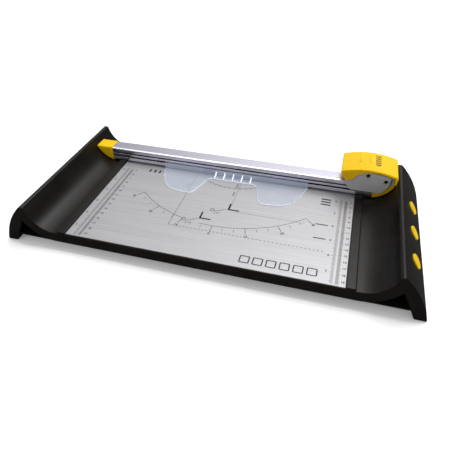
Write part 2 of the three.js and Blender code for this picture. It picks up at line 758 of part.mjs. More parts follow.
// Turns a lathe's own axis onto the outward normal of the flank.
function spareTurn() {
  const normal = new THREE.Vector3(Math.cos(SPARE_ANGLE), 0, Math.sin(SPARE_ANGLE));
  return new THREE.Quaternion().setFromUnitVectors(Y_AXIS, normal);
}

function spareHole(y) {
  const geometry = new THREE.CylinderGeometry(SPARE.holeRadius, SPARE.holeRadius, 8, 32);
  geometry.applyQuaternion(spareTurn());
  const c = spareCentre(y);
  geometry.translate(c.x, c.y, c.z);
  return toSolid(geometry);
}

function latheGeometry(profile, segments) {
  const points = profile.map(([r, y]) => new THREE.Vector2(r, y));
  return toGeometry(toSolid(new THREE.LatheGeometry(points, segments)));
}

function spareCartridgeGeometry() {
  return latheGeometry([
    [0, -SPARE.bodyBottom], [SPARE.bodyRadius, -SPARE.bodyBottom],
    [SPARE.bodyRadius, -SPARE.bodyTop], [SPARE.hubRadius, -SPARE.bodyTop],
    [SPARE.hubRadius, -0.5], [SPARE.hubRadius - 0.5, 0], [0, 0],
  ], 32);
}

function spareWheelGeometry() {
  const top = -SPARE.bodyBottom - CLEARANCE;
  return latheGeometry([
    [0, top - BLADE.thickness], [BLADE.r, top - BLADE.thickness], [BLADE.r, top], [0, top],
  ], 32);
}

// ---- Assembly --------------------------------------------------------------
const trimmer = new THREE.Group();
trimmer.name = 'rotary_paper_trimmer';

function addGeometry(parent, name, geometry, material) {
  const mesh = new THREE.Mesh(geometry, material());
  mesh.name = name;
  parent.add(mesh);
  return mesh;
}

function addSolid(parent, name, solid, material) {
  return addGeometry(parent, name, toGeometry(solid), material);
}

function group(parent) {
  const child = new THREE.Group();
  parent.add(child);
  return child;
}

const base = group(trimmer);
addSolid(base, 'top_shell', topShell(), BLACK_PLASTIC);
addSolid(base, 'bottom_cover', bottomCover(), BLACK_PLASTIC);
addSolid(base, 'bed_plate', bedPlate(), BRUSHED_PLATE);
addSolid(base, 'cutting_mat', cuttingMat(), BLACK_PLASTIC);
addSolid(base, 'rail', rail(), ALUMINIUM);
for (const [side, word] of [[-1, 'left'], [1, 'right']]) {
  addSolid(base, `${word}_wing_liner`, wingLiner(side), BLACK_PLASTIC);
  addSolid(base, `${word}_rail_cap`, railCap(side), YELLOW_PLASTIC);
  const length = CAP_SCREW.tip - CAP_SCREW.seat;
  const capScrew = screwGeometry(3, CAP_SCREW.seat - CAP_SCREW.head, 1.4, length);
  addGeometry(base, `${word}_cap_screw`, capScrew, STEEL)
    .position.set(side * CAP_SCREW.x, CAP_SCREW.y, CAP_SCREW.seat);
  for (const [end, place] of [[-1, 'front'], [1, 'rear']]) {
    addSolid(base, `${word}_${place}_foot`, rubberFootSolid(side, end, 0), RUBBER);
  }
}
COVER_SCREW_SPOTS.forEach(([x, y], i) => {
  addGeometry(base, `cover_screw_${i + 1}`, screwGeometry(3, 1.6, 1.4, 8), STEEL)
    .position.set(x, y, SLAB_BOTTOM);
});

addSolid(group(trimmer), 'paper_guard', paperGuard(), CLEAR_BLUE);

const carriage = group(trimmer);
addSolid(carriage, 'carriage_body', carriageBody(), PALE_PLASTIC);
addSolid(carriage, 'front_cheek', frontCheek(), GREY_PLASTIC);
const gripDepth = GROOVE.depth - CLEARANCE;
addSolid(carriage, 'front_glide', glidePad(CHEEK.rear, RAIL_FRONT + gripDepth), WHITE_NYLON);
addSolid(carriage, 'rear_glide', glidePad(RAIL_REAR - gripDepth, SKIRT.front), WHITE_NYLON);
CHEEK_SCREWS.forEach(({ x, z }, i) => {
  const screw = addGeometry(carriage, `cheek_screw_${i + 1}`, screwGeometry(2.1, 1.3, 1.1, 3.4), STEEL);
  screw.rotation.x = -Math.PI / 2;
  screw.position.set(x, CHEEK.front + 2, z);
});
springSpots().forEach((x, i) => {
  addSolid(carriage, `guide_post_${i + 1}`, guidePost(x), STEEL);
});

const pressHead = group(carriage);
addSolid(pressHead, 'press_cover', pressCover(), YELLOW_PLASTIC);
addSolid(pressHead, 'blade_holder', bladeHolder(), PALE_PLASTIC);
addSolid(pressHead, 'inner_cartridge', innerCartridge(), GREY_PLASTIC);
addSolid(pressHead, 'outer_cartridge', outerCartridge(), GREY_PLASTIC);
addSolid(pressHead, 'blade_axle', bladeAxle(), STEEL);
springSpots().forEach((x, i) => {
  addGeometry(pressHead, `return_spring_${i + 1}`, springGeometry(), STEEL)
    .position.set(x, SPRING_Y, SADDLE_TOP);
});
addGeometry(group(pressHead), 'cutting_wheel', cuttingWheel(), BLADE_STEEL)
  .position.set(BLADE.x, CUT_LINE_Y, BLADE.z);

SPARE_Y.forEach((y, i) => {
  const pocket = group(trimmer);
  pocket.position.copy(spareCentre(y));
  pocket.quaternion.copy(spareTurn());
  addGeometry(pocket, `spare_cartridge_${i + 1}`, spareCartridgeGeometry(), YELLOW_PLASTIC);
  addGeometry(pocket, `spare_wheel_${i + 1}`, spareWheelGeometry(), BLADE_STEEL);
});

export default trimmer;
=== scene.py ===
"""Looks of the rotary paper trimmer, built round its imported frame.

Lengths are millimetres until a mesh is made; +X runs along the rail, +Y away from the user, +Z up.
"""
import math
from collections import namedtuple

import bmesh
import bpy
from mathutils import Matrix, Vector


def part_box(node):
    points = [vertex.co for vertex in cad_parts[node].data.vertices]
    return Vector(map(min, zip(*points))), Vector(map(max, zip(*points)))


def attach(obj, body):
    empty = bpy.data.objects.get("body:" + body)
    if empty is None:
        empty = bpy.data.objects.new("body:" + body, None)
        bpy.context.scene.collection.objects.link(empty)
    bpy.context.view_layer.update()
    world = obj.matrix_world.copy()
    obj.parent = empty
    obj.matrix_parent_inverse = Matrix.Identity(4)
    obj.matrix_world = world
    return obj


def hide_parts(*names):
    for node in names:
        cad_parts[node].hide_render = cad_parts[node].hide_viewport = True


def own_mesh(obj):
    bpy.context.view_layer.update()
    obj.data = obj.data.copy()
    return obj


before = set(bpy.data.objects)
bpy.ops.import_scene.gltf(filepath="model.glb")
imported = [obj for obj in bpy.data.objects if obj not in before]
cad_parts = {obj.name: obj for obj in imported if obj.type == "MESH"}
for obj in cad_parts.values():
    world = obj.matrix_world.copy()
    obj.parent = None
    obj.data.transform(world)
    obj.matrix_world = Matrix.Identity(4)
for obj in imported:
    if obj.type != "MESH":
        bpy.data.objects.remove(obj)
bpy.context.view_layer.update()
MM = 0.001

Circle = namedtuple("Circle", "x z r")


class Box(namedtuple("Box", "x0 x1 y0 y1 z0 z1")):
    """Lowest and highest corners; x, y and z are the middle."""

    @property
    def x(self):
        return (self.x0 + self.x1) / 2

    @property
    def y(self):
        return (self.y0 + self.y1) / 2

    @property
    def z(self):
        return (self.z0 + self.z1) / 2


def cad_box(node):
    """A CAD node's box at rest, in millimetres."""
    low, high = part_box(node)
    low, high = low / MM, high / MM
    return Box(low.x, high.x, low.y, high.y, low.z, high.z)


SHELL = cad_box("top_shell")
PLATE = cad_box("bed_plate")
MAT = cad_box("cutting_mat")
RAIL = cad_box("rail")
LINER = cad_box("right_wing_liner")
FOOT = cad_box("right_front_foot")
GUARD = cad_box("paper_guard")
CHEEK = cad_box("front_cheek")
BODY = cad_box("carriage_body")
COVER = cad_box("press_cover")

# ---- Shared sizes ----
GAP = 0.3
WALL = 3
CUT_LINE = MAT.y
BED_TOP = PLATE.z1
SLAB_BOTTOM = cad_box("bottom_cover").z0
FENCE_INNER = PLATE.x1 + GAP / 2
FENCE_OUTER = FENCE_INNER + 10
FENCE_TOP = BED_TOP + 2.1
DISH = Circle(172.5, 58, 34)
FLANK = Circle(137.4, -25.4, 108)
RIBBON = 13
RIDGE_RADIUS = 3.6
APEX_ANGLE = math.radians(-30.8)
FOOT_INNER = 229.4
LINER_THICKNESS = 2
HUB_ANGLE = math.radians(35.5)
HUB_HOLE = 8.7
SCREW_HOLE = 1.5
CHEEK_CIRCLE = Circle(169.4, 56, 27.6)
ARCH = Circle(170.3, COVER.z1, 98)
HEADROOM = 6.1
SKIN = 2
COVER_END_LOW = 49.8


# ---- Outlines ----
def arc(circle, radius, start, stop, steps):
    points = []
    for i in range(steps + 1):
        angle = start + (stop - start) * i / steps
        points.append((circle.x + radius * math.cos(angle), circle.z + radius * math.sin(angle)))
    return points


def soften(outline, steps=5):
    """Rounds each corner given as (a, b, d): the curve leaves the outline d before it."""
    points = [Vector(p[:2]) for p in outline]
    count = len(points)
    along = [0.0]
    for i in range(count):
        along.append(along[-1] + (points[(i + 1) % count] - points[i]).length)
    total = along[count]

    def walk(distance):
        distance %= total
        for i in range(count):
            if distance <= along[i + 1]:
                part = (distance - along[i]) / max(along[i + 1] - along[i], 1e-9)
                return points[i].lerp(points[(i + 1) % count], part)
        return points[0]

    corners = [(along[i], p[2]) for i, p in enumerate(outline) if len(p) > 2]
    spots = [place for place, _ in corners]
    if len(corners) > 1:
        apart = [(b - a) % total for a, b in zip(spots, spots[1:] + spots[:1])]
        corners = [(place, min(size, 0.49 * apart[k], 0.49 * apart[k - 1]))
                   for k, (place, size) in enumerate(corners)]
    reach = dict(corners)
    result = []
    for i, p in enumerate(outline):
        if len(p) > 2:
            before, after = walk(along[i] - reach[along[i]]), walk(along[i] + reach[along[i]])
            for k in range(steps + 1):
                t = k / steps
                result.append(before * (1 - t) ** 2 + points[i] * 2 * t * (1 - t) + after * t * t)
            continue
        gaps = [abs(along[i] - place) for place in spots]
        if all(min(gap, total - gap) > size + 1e-6 for gap, (_, size) in zip(gaps, corners)):
            result.append(points[i])
    return [(p.x, p.y) for p in result]


def mirror(outline, side):
    return [(side * p[0],) + tuple(p[1:]) for p in outline]


def rectangle(a0, a1, b0, b1, corner=0):
    points = [(a0, b0), (a1, b0), (a1, b1), (a0, b1)]
    return soften([p + (corner,) for p in points]) if corner else points


def outward(outline):
    """The outward mitre of each point of a closed outline."""
    ahead = outline[1:] + outline[:1]
    area = sum(a[0] * b[1] - b[0] * a[1] for a, b in zip(outline, ahead))
    turn = 1 if area > 0 else -1
    mitres = []
    for i, c in enumerate(ahead):
        first = (Vector(outline[i]) - Vector(outline[i - 1])).normalized()
        second = (Vector(c) - Vector(outline[i])).normalized()
        n1 = Vector((first.y, -first.x)) * turn
        n2 = Vector((second.y, -second.x)) * turn
        both = (n1 + n2).normalized()
        mitres.append(both / max(both.dot(n1), 0.35))
    return mitres


# ---- Meshes ----
def with_settings(thing, **settings):
    """Sets a Blender thing's attributes and returns it."""
    for key, value in settings.items():
        setattr(thing, key, value)
    return thing


def linked(name, data):
    """A new object in the scene."""
    obj = bpy.data.objects.new(name, data)
    bpy.context.scene.collection.objects.link(obj)
    return obj


def object_from(bm, name):
    """Turns millimetre mesh work into an object in metres."""
    bmesh.ops.recalc_face_normals(bm, faces=bm.faces)
    for vertex in bm.verts:
        vertex.co *= MM
    mesh = bpy.data.meshes.new(name)
    bm.to_mesh(mesh)
    bm.free()
    return linked(name, mesh)


def placed(axis, a, b, along):
    """An outline's point (a, b) at a place along the axis."""
    return {"X": (along, a, b), "Y": (a, along, b), "Z": (a, b, along)}[axis]


def add_face(bm, *corners):
    """A face whose repeated corners count once."""
    unique = list(dict.fromkeys(corners))
    return bm.faces.new(unique) if len(unique) > 2 else None


def shrunk(points, owner, amount):
    """Moves a closed outline inward a little; points that would pass each other merge."""
    moved = [Vector(p) - m * amount for p, m in zip(points, outward(points))]
    kept, place = [], []
    for i, spot in enumerate(moved):
        before = Vector(points[i]) - Vector(points[i - 1])
        after = spot - moved[i - 1]
        if i and before.dot(after) <= 0:
            kept[-1] = (kept[-1] + spot) / 2
        else:
            kept.append(spot)
        place.append(len(kept) - 1)
    return kept, [place[k] for k in owner]


def inset_outlines(outline, insets):
    """The outline moved inward by each inset, as points and the point each vertex goes to."""
    rings = {}
    points, owner, level = [Vector(p) for p in outline], list(range(len(outline))), 0.0
    for inset in sorted(set(insets)):
        if inset < 0:
            wider = [Vector(p) - m * inset for p, m in zip(outline, outward(outline))]
            rings[inset] = (wider, list(range(len(outline))))
            continue
        while level < inset - 1e-9:
            amount = min(0.1, inset - level)
            points, owner = shrunk(points, owner, amount)
            level += amount
        rings[inset] = (points, owner)
    return rings


def add_loft(bm, outline, stations, axis):
    """A closed solid through the outline, inset as each (along, inset) station says."""
    insets = inset_outlines(outline, [inset for _, inset in stations])
    rings = []
    for along, inset in stations:
        points, owner = insets[inset]
        corners = [bm.verts.new(placed(axis, p.x, p.y, along)) for p in points]
        rings.append([corners[k] for k in owner])
    count = len(outline)
    for lower, upper in zip(rings, rings[1:]):
        for i in range(count):
            j = (i + 1) % count
            add_face(bm, lower[i], lower[j], upper[j], upper[i])
    caps = [add_face(bm, *ring) for ring in (rings[0], rings[-1])]
    for cap in caps:
        cap.normal_update()
    bmesh.ops.triangulate(bm, faces=caps)


def loft(name, outline, stations, axis):
    bm = bmesh.new()
    add_loft(bm, outline, stations, axis)
    return object_from(bm, name)


def quarter_round(run, inset, steps):
    """How far from the end face, and how far in, a rounded end is; from its full size outwards."""
    angles = [math.pi / 2 * i / steps for i in range(steps + 1)]
    return [(run * (1 - math.sin(angle)), inset * (1 - math.cos(angle))) for angle in angles]


def rounded(name, outline, axis, start, stop, first, second=None, steps=4):
    """A loft whose two ends are rounded by these radii."""
    second = first if second is None else second
    opening = [(start + run, inset) for run, inset in quarter_round(first, first, steps)[::-1]]
    closing = [(stop - run, inset) for run, inset in quarter_round(second, second, steps)]
    return loft(name, outline, opening + closing, axis)


def prism(outline, start, stop, axis):
    """A straight tool for carve and fuse."""
    return loft("cutter", outline, [(start, 0), (stop, 0)], axis)


def block(name, box, radius):
    """A box with rounded edges."""
    outline = rectangle(box.x0, box.x1, box.y0, box.y1, radius * 1.6)
    return rounded(name, outline, "Z", box.z0, box.z1, radius)


def cutter(*boxes):
    bm = bmesh.new()
    for box in boxes:
        add_loft(bm, rectangle(*box[:4]), [(box.z0, 0), (box.z1, 0)], "Z")
    return object_from(bm, "cutter")


def lathe(name, profile, matrix, segments=64):
    """Turns (radius, height) points, both ends on the axis, about the matrix's Z axis."""
    bm = bmesh.new()
    rings = []
    for radius, height in profile:
        ring = []
        for i in range(segments if radius > 1e-6 else 1):
            angle = 2 * math.pi * i / segments
            spot = Vector((radius * math.cos(angle), radius * math.sin(angle), height))
            ring.append(bm.verts.new(matrix @ spot))
        rings.append(ring)
    for lower, upper in zip(rings, rings[1:]):
        for i in range(segments):
            j = (i + 1) % segments
            add_face(bm, lower[i % len(lower)], lower[j % len(lower)],
                     upper[j % len(upper)], upper[i % len(upper)])
    return object_from(bm, name)


def hole(radius, depth, matrix, segments=64):
    """A round tool from the matrix's origin along its Z axis."""
    return lathe("cutter", [(0, 0), (radius, 0), (radius, depth), (0, depth)], matrix, segments)


def carve(body, *tools, how="DIFFERENCE"):
    """Cuts (or joins) the tools into the body, and removes the tools."""
    for tool in tools:
        change = body.modifiers.new("carve", "BOOLEAN")
        with_settings(change, operation=how, solver="EXACT", object=tool)
    graph = bpy.context.evaluated_depsgraph_get()
    mesh = bpy.data.meshes.new_from_object(body.evaluated_get(graph))
    body.modifiers.clear()
    body.data = mesh
    for tool in tools:
        bpy.data.objects.remove(tool)


def fuse(body, *tools):
    carve(body, *tools, how="UNION")


def along_axis(origin, direction):
    """A matrix whose Z axis points along direction, from origin."""
    turn = Vector((0, 0, 1)).rotation_difference(Vector(direction))
    return Matrix.Translation(origin) @ turn.to_matrix().to_4x4()


def clean(mesh):
    """Merges doubled points, drops slivers and turns every face outward."""
    bm = bmesh.new()
    bm.from_mesh(mesh)
    bmesh.ops.remove_doubles(bm, verts=bm.verts, dist=1e-6)
    bmesh.ops.dissolve_degenerate(bm, edges=bm.edges, dist=1e-6)
    bmesh.ops.recalc_face_normals(bm, faces=bm.faces)
    bm.to_mesh(mesh)
    bm.free()


def piece(obj, body, slot, material, *stands_for, angle=32):
    """Finishes an object as a piece: smooth shading, material, body and the nodes it stands for."""
    clean(obj.data)
    obj.data.shade_smooth()
    obj.data.set_sharp_from_angle(angle=math.radians(angle))
    with_settings(obj.modifiers.new("even_normals", "WEIGHTED_NORMAL"), keep_sharp=True)
    obj.data.materials.clear()
    obj.data.materials.append(material)
    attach(obj, body)
    if stands_for:
        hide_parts(*stands_for)


def accent(obj, material, chosen):
    """Gives the faces picked by chosen(centre, normal) a second material."""
    obj.data.materials.append(material)
    for polygon in obj.data.polygons:
        if chosen(polygon.center / MM, polygon.normal):
            polygon.material_index = len(obj.data.materials) - 1


# ---- Materials ----
class Nodes:
    """A node tree, with short calls for the nodes used here."""

    def __init__(self, tree):
        self.tree = tree

    def add(self, kind, **settings):
        return with_settings(self.tree.nodes.new(kind), **settings)

    def feed(self, socket, value):
        """Gives an input a value, or links it to another node's output."""
        if isinstance(value, bpy.types.NodeSocket):
            self.tree.links.new(value, socket)
        else:
            socket.default_value = value

    def set(self, node, **values):
        for key, value in values.items():
            self.feed(node.inputs[key.replace("_", " ")], value)

    def maths(self, operation, *values):
        node = self.add("ShaderNodeMath", operation=operation)
        for socket, value in zip(node.inputs, values):
            self.feed(socket, value)
        return node.outputs[0]

    def ranged(self, value, low, high, start=0.3, stop=0.7, curve="LINEAR"):
        """Low to high while the value goes from start to stop."""
        node = self.add("ShaderNodeMapRange", interpolation_type=curve)
        self.set(node, Value=value, From_Min=start, From_Max=stop, To_Min=low, To_Max=high)
        return node.outputs["Result"]

    def mixed(self, factor, first, second, kind="RGBA"):
        """First to second while the factor goes from 0 to 1; kind is RGBA or VALUE."""
        node = self.add("ShaderNodeMix", data_type="FLOAT" if kind == "VALUE" else kind)
        pair = [s for s in node.inputs if s.type == kind and s.name in ("A", "B")]
        for socket, value in zip([node.inputs[0]] + pair, (factor, first, second)):
            self.feed(socket, value)
        return next(s for s in node.outputs if s.type == kind)

    def axes(self, vector):
        """The X, Y and Z outputs of a vector."""
        split = self.add("ShaderNodeSeparateXYZ")
        self.set(split, Vector=vector)
        return split.outputs


class Surface(Nodes):
    """A new material's node tree."""

    def __init__(self, name):
        self.material = bpy.data.materials.new(name)
        self.material.use_nodes = True
        super().__init__(self.material.node_tree)
        self.shader = self.tree.nodes["Principled BSDF"]
        self.place = self.add("ShaderNodeTexCoord").outputs["Object"]

    def noise(self, scale, detail=2.0, stretch=None, roughness=0.5):
        """Noise at so many features per metre, drawn out along axes by stretch."""
        place = self.place
        if stretch:
            mapping = self.add("ShaderNodeMapping")
            self.set(mapping, Vector=place, Scale=stretch)
            place = mapping.outputs["Vector"]
        node = self.add("ShaderNodeTexNoise")
        self.set(node, Vector=place, Scale=scale, Detail=detail, Roughness=roughness)
        return node.outputs["Fac"]

    def look(self, **values):
        """Sets or links the shader's inputs."""
        self.set(self.shader, **values)

    def tone(self, value, dark, light):
        """Dark to light with the noise."""
        return self.mixed(self.ranged(value, 0, 1), dark, light)

    def bump(self, height, distance):
        node = self.add("ShaderNodeBump")
        self.set(node, Height=height, Distance=distance, Strength=1.0)
        self.look(Normal=node.outputs["Normal"])

    def facing_up(self):
        """How far the surface faces up or down: 1 on flats, 0 on upright faces."""
        normal = self.add("ShaderNodeNewGeometry").outputs["Normal"]
        return self.maths("ABSOLUTE", self.axes(normal)["Z"])


def rgb(red, green, blue):
    return (red, green, blue, 1)


def plastic(name, dark, light, rough, grain=2600, grain_depth=0.000012, specular=0.5):
    """Moulded plastic: fine spark grain, faint flow marks in the colour, uneven gloss."""
    nodes = Surface(name)
    cloud = nodes.noise(28, detail=4)
    fine = nodes.noise(grain, detail=1)
    broad = nodes.ranged(cloud, rough - 0.03, rough + 0.03)
    gloss = nodes.maths("ADD", broad, nodes.ranged(fine, -0.04, 0.04))
    nodes.look(Base_Color=nodes.tone(cloud, dark, light))
    nodes.look(Roughness=gloss, Specular_IOR_Level=specular)
    nodes.bump(fine, grain_depth)
    return nodes.material


def brushed_metal(name, dark, light, rough, lines, metallic=1.0, depth=0.000004, uneven=0.06):
    """Metal with fine lines drawn along X, at so many lines per metre across them."""
    nodes = Surface(name)
    coarse = nodes.noise(1.0, detail=3, stretch=(6, lines * 0.4, lines * 0.4), roughness=0.6)
    fine = nodes.noise(1.0, detail=3, stretch=(14, lines, lines), roughness=0.7)
    streaks = nodes.ranged(nodes.maths("ADD", coarse, fine), 0, 1, 0.75, 1.25)
    nodes.look(Base_Color=nodes.mixed(streaks, dark, light), Metallic=metallic)
    nodes.look(Roughness=nodes.ranged(fine, rough - uneven, rough + uneven))
    nodes.bump(fine, depth)
    return nodes.material


def turned_metal(name, colour, rough):
    """Plated or ground steel with a fine even tooth."""
    nodes = Surface(name)
    fine = nodes.noise(1800, detail=2)
    dark = tuple(c * 0.85 for c in colour[:3]) + (1,)
    nodes.look(Base_Color=nodes.tone(fine, dark, colour), Metallic=1.0)
    nodes.look(Roughness=nodes.ranged(fine, rough - 0.04, rough + 0.06))
    nodes.bump(fine, 0.000003)
    return nodes.material


def clear_sheet(name):
    """Clear, faintly blue sheet, more solid to the eye where it stands upright: a painted reflection, with
    upright faces made more opaque for the glare they catch.
    """
    nodes = Surface(name)
    streak = nodes.noise(60, detail=2)
    tone = nodes.tone(streak, rgb(0.62, 0.69, 0.84), rgb(0.72, 0.78, 0.92))
    nodes.look(Base_Color=tone, Roughness=nodes.ranged(streak, 0.08, 0.16))
    # Painted reflection: upright faces are given more opacity (0.46) than flat ones (0.2).
    nodes.look(Alpha=nodes.ranged(nodes.facing_up(), 0.46, 0.2, 0.35, 0.9))
    return nodes.material


def lit_edge(name):
    """The cut edge of a clear sheet: a painted glow and highlight, a light base colour with emission standing
    in for the light the edge gathers.
    """
    nodes = Surface(name)
    tone = nodes.tone(nodes.noise(90), rgb(0.74, 0.80, 0.92), rgb(0.86, 0.90, 0.98))
    nodes.look(Base_Color=tone, Roughness=0.35)
    # Painted glow: the edge emits light though it is no lamp.
    nodes.look(Emission_Color=tone, Emission_Strength=0.5)
    return nodes.material


BLACK = plastic("black_moulded", rgb(0.0056, 0.0048, 0.0042), rgb(0.0086, 0.0074, 0.0064), 0.31,
                specular=0.18)
YELLOW = plastic("yellow_moulded", rgb(0.72, 0.44, 0.002), rgb(0.79, 0.505, 0.004), 0.36,
                 grain=3200, grain_depth=0.000006, specular=0.12)
GREY = plastic("grey_moulded", rgb(0.45, 0.445, 0.45), rgb(0.52, 0.512, 0.52), 0.45, specular=0.35)
PALE = plastic("pale_moulded", rgb(0.42, 0.41, 0.42), rgb(0.48, 0.47, 0.48), 0.45)
NYLON = plastic("white_nylon", rgb(0.70, 0.69, 0.64), rgb(0.78, 0.77, 0.72), 0.5)
RUBBER = plastic("black_rubber", rgb(0.018, 0.018, 0.018), rgb(0.028, 0.027, 0.027), 0.8,
                 grain=1500, grain_depth=0.00003)
MAT_PLASTIC = plastic("mat_black", rgb(0.014, 0.014, 0.016), rgb(0.022, 0.022, 0.024), 0.6,
                      grain=1800, grain_depth=0.00002)
INK = plastic("print_ink", rgb(0.006, 0.006, 0.007), rgb(0.014, 0.014, 0.015), 0.6, specular=0.2)
SOFT_INK = plastic("print_ink_fine", rgb(0.02, 0.02, 0.022), rgb(0.035, 0.035, 0.037), 0.6, specular=0.2)
COVER_INK = plastic("cover_ink", rgb(0.02, 0.014, 0.004), rgb(0.035, 0.024, 0.006), 0.6, specular=0.2)
# Painted shade: a near-black material laid in the rail's front slot and grooves, for the shade that falls in
# them.
PAINTED_SLOT_SHADE = plastic("rail_slot_painted_shade", rgb(0.006, 0.006, 0.006), rgb(0.02, 0.02, 0.021), 0.6, specular=0.15)
BED_METAL = brushed_metal("brushed_bed", rgb(0.32, 0.315, 0.325), rgb(0.40, 0.395, 0.405), 0.44, 1700,
                          metallic=0.5)
RAIL_METAL = brushed_metal("drawn_aluminium", rgb(0.625, 0.605, 0.70), rgb(0.665, 0.645, 0.735), 0.26,
                           1600, depth=0.0000001, uneven=0.01)
STEEL = turned_metal("plated_steel", rgb(0.42, 0.43, 0.45), 0.28)
BLADE_METAL = turned_metal("ground_blade", rgb(0.72, 0.73, 0.75), 0.14)
OXIDE = turned_metal("black_oxide", rgb(0.045, 0.045, 0.05), 0.35)
CLEAR = clear_sheet("clear_blue")
CLEAR_EDGE_GLOW = lit_edge("clear_edge_painted_glow")


# ---- Carried-over CAD nodes ----
def smoothing_group():
    """Geometry nodes that shade smooth, but keep edges sharper than 32 degrees."""
    group = bpy.data.node_groups.new("smooth_by_angle", "GeometryNodeTree")
    for way in ("INPUT", "OUTPUT"):
        group.interface.new_socket("Geometry", in_out=way, socket_type="NodeSocketGeometry")
    nodes = Nodes(group)
    angle = nodes.add("GeometryNodeInputMeshEdgeAngle").outputs["Unsigned Angle"]
    flat = nodes.maths("LESS_THAN", angle, math.radians(32))
    edges = nodes.add("GeometryNodeSetShadeSmooth", domain="EDGE")
    nodes.set(edges, Geometry=nodes.add("NodeGroupInput").outputs[0], Shade_Smooth=flat)
    faces = nodes.add("GeometryNodeSetShadeSmooth", domain="FACE")
    nodes.set(faces, Geometry=edges.outputs["Geometry"])
    nodes.feed(nodes.add("NodeGroupOutput").inputs[0], faces.outputs["Geometry"])
    return group


SMOOTHING = smoothing_group()


def keep(material, bevel, *names):
    """CAD nodes that stay: welded, their sharp edges eased, and given their material."""
    for name in names:
        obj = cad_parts[name]
        with_settings(obj.modifiers.new("weld", "WELD"), merge_threshold=1e-6)
        if bevel:
            with_settings(obj.modifiers.new("ease", "BEVEL"), width=bevel * MM, segments=2,
                          limit_method="ANGLE", angle_limit=math.radians(40))
        with_settings(obj.modifiers.new("smooth", "NODES"), node_group=SMOOTHING)
        if not obj.material_slots:
            obj.data.materials.append(None)
        for slot in obj.material_slots:
            slot.material = material


# ---- Base ----
def flank_meets_dish(flank_radius, dish_radius):
    """The upper meeting point of two circles round the flank's and the dish's centres."""
    dx, dz = DISH.x - FLANK.x, DISH.z - FLANK.z
    apart = math.hypot(dx, dz)
    along = (flank_radius ** 2 - dish_radius ** 2 + apart ** 2) / (2 * apart)
    across = math.sqrt(flank_radius ** 2 - along ** 2)
    return (FLANK.x + (along * dx + across * dz) / apart,
            FLANK.z + (along * dz - across * dx) / apart)


def angle_from(circle, point):
    return math.atan2(point[1] - circle.z, point[0] - circle.x)


def angle_at(circle, radius, z):
    """The angle, on the right, of a concentric circle's point at height z."""
    return math.asin((z - circle.z) / radius)


def shell_outline():
    """The base's section: a thin bed between two wings, each a ribbon under a round dish."""
    ridge = Circle(*flank_meets_dish(FLANK.r - RIDGE_RADIUS, DISH.r + RIDGE_RADIUS), RIDGE_RADIUS)
    flank_end = angle_from(FLANK, ridge)
    dish_end = angle_from(DISH, ridge)
    under = arc(DISH, DISH.r + RIBBON, -math.pi / 2, APEX_ANGLE, 24)
    flank = arc(FLANK, FLANK.r, angle_at(FLANK, FLANK.r, SHELL.z0), flank_end, 44)
    right = (
        [(0, SLAB_BOTTOM)] + under[:-1] + [under[-1] + (1.6,)]
        + [(FOOT_INNER, SHELL.z0, 1.2)] + [flank[0] + (1.2,)] + flank[1:]
        + arc(ridge, ridge.r, flank_end, dish_end + math.pi, 8)[1:-1]
        + arc(DISH, DISH.r, dish_end, -math.pi / 2, 44)
        + [(FENCE_OUTER, DISH.z - DISH.r, 0.9), (FENCE_OUTER, FENCE_TOP, 1.1)]
        + [(FENCE_INNER, FENCE_TOP, 1.0), (FENCE_INNER, BED_TOP)]
    )
    left = mirror(right, -1)[1:]
    return soften(right + left[::-1])


def wing_cavity(side):
    """The hollow of a wing, a wall's thickness inside it, closed towards the bed by a web."""
    floor, web = 5, FENCE_OUTER - 1
    top = flank_meets_dish(FLANK.r - WALL, DISH.r + WALL)
    foot = angle_at(FLANK, FLANK.r - WALL, floor)
    outline = (
        [(web, floor)]
        + arc(FLANK, FLANK.r - WALL, foot, angle_from(FLANK, top), 24)
        + arc(DISH, DISH.r + WALL, angle_from(DISH, top), -math.pi / 2, 24)[1:]
        + [(web, DISH.z - DISH.r - WALL)]
    )
    return prism(mirror(outline, side), SHELL.y0 + WALL, SHELL.y1 - WALL, "Y")


def rear_corner():
    """What is taken off the tops of the wings' rear ends to round them."""
    corner = Circle(SHELL.y1 - 6, 48.4, 6)
    above, behind = 62, SHELL.y1 + 2
    outline = arc(corner, corner.r, 0, math.pi / 2, 10)
    outline += [(corner.x, above), (behind, above), (behind, corner.z)]
    return prism(outline, -FOOT_INNER, FOOT_INNER, "X")


def hub_places():
    """Centre of each spare cartridge's hub on the right flank, and the flank's normal there."""
    normal = Vector((math.cos(HUB_ANGLE), 0, math.sin(HUB_ANGLE)))
    centre = Vector((FLANK.x, 0, FLANK.z)) + FLANK.r * normal
    rows = [cad_box(f"spare_cartridge_{i}").y for i in (1, 2, 3)]
    return [Vector((centre.x, y, centre.z)) for y in rows], normal


def foot_pockets():
    pockets = []
    for side in (-1, 1):
        for end in (-1, 1):
            xs = sorted((side * (FOOT.x0 - GAP), side * (FOOT.x1 + GAP)))
            ys = sorted((end * (FOOT.y0 - GAP), end * (FOOT.y1 + GAP)))
            pockets.append(Box(*xs, *ys, -1, FOOT.z1))
    return pockets


def hub_hole(place, normal):
    """A round hole through the flank with a small chamfer outside."""
    deep, high, chamfer = -5, 4, HUB_HOLE + 0.6
    profile = [(0, deep), (HUB_HOLE, deep), (HUB_HOLE, -0.5), (chamfer, 0.12), (chamfer, high), (0, high)]
    return lathe("cutter", profile, along_axis(place, normal))


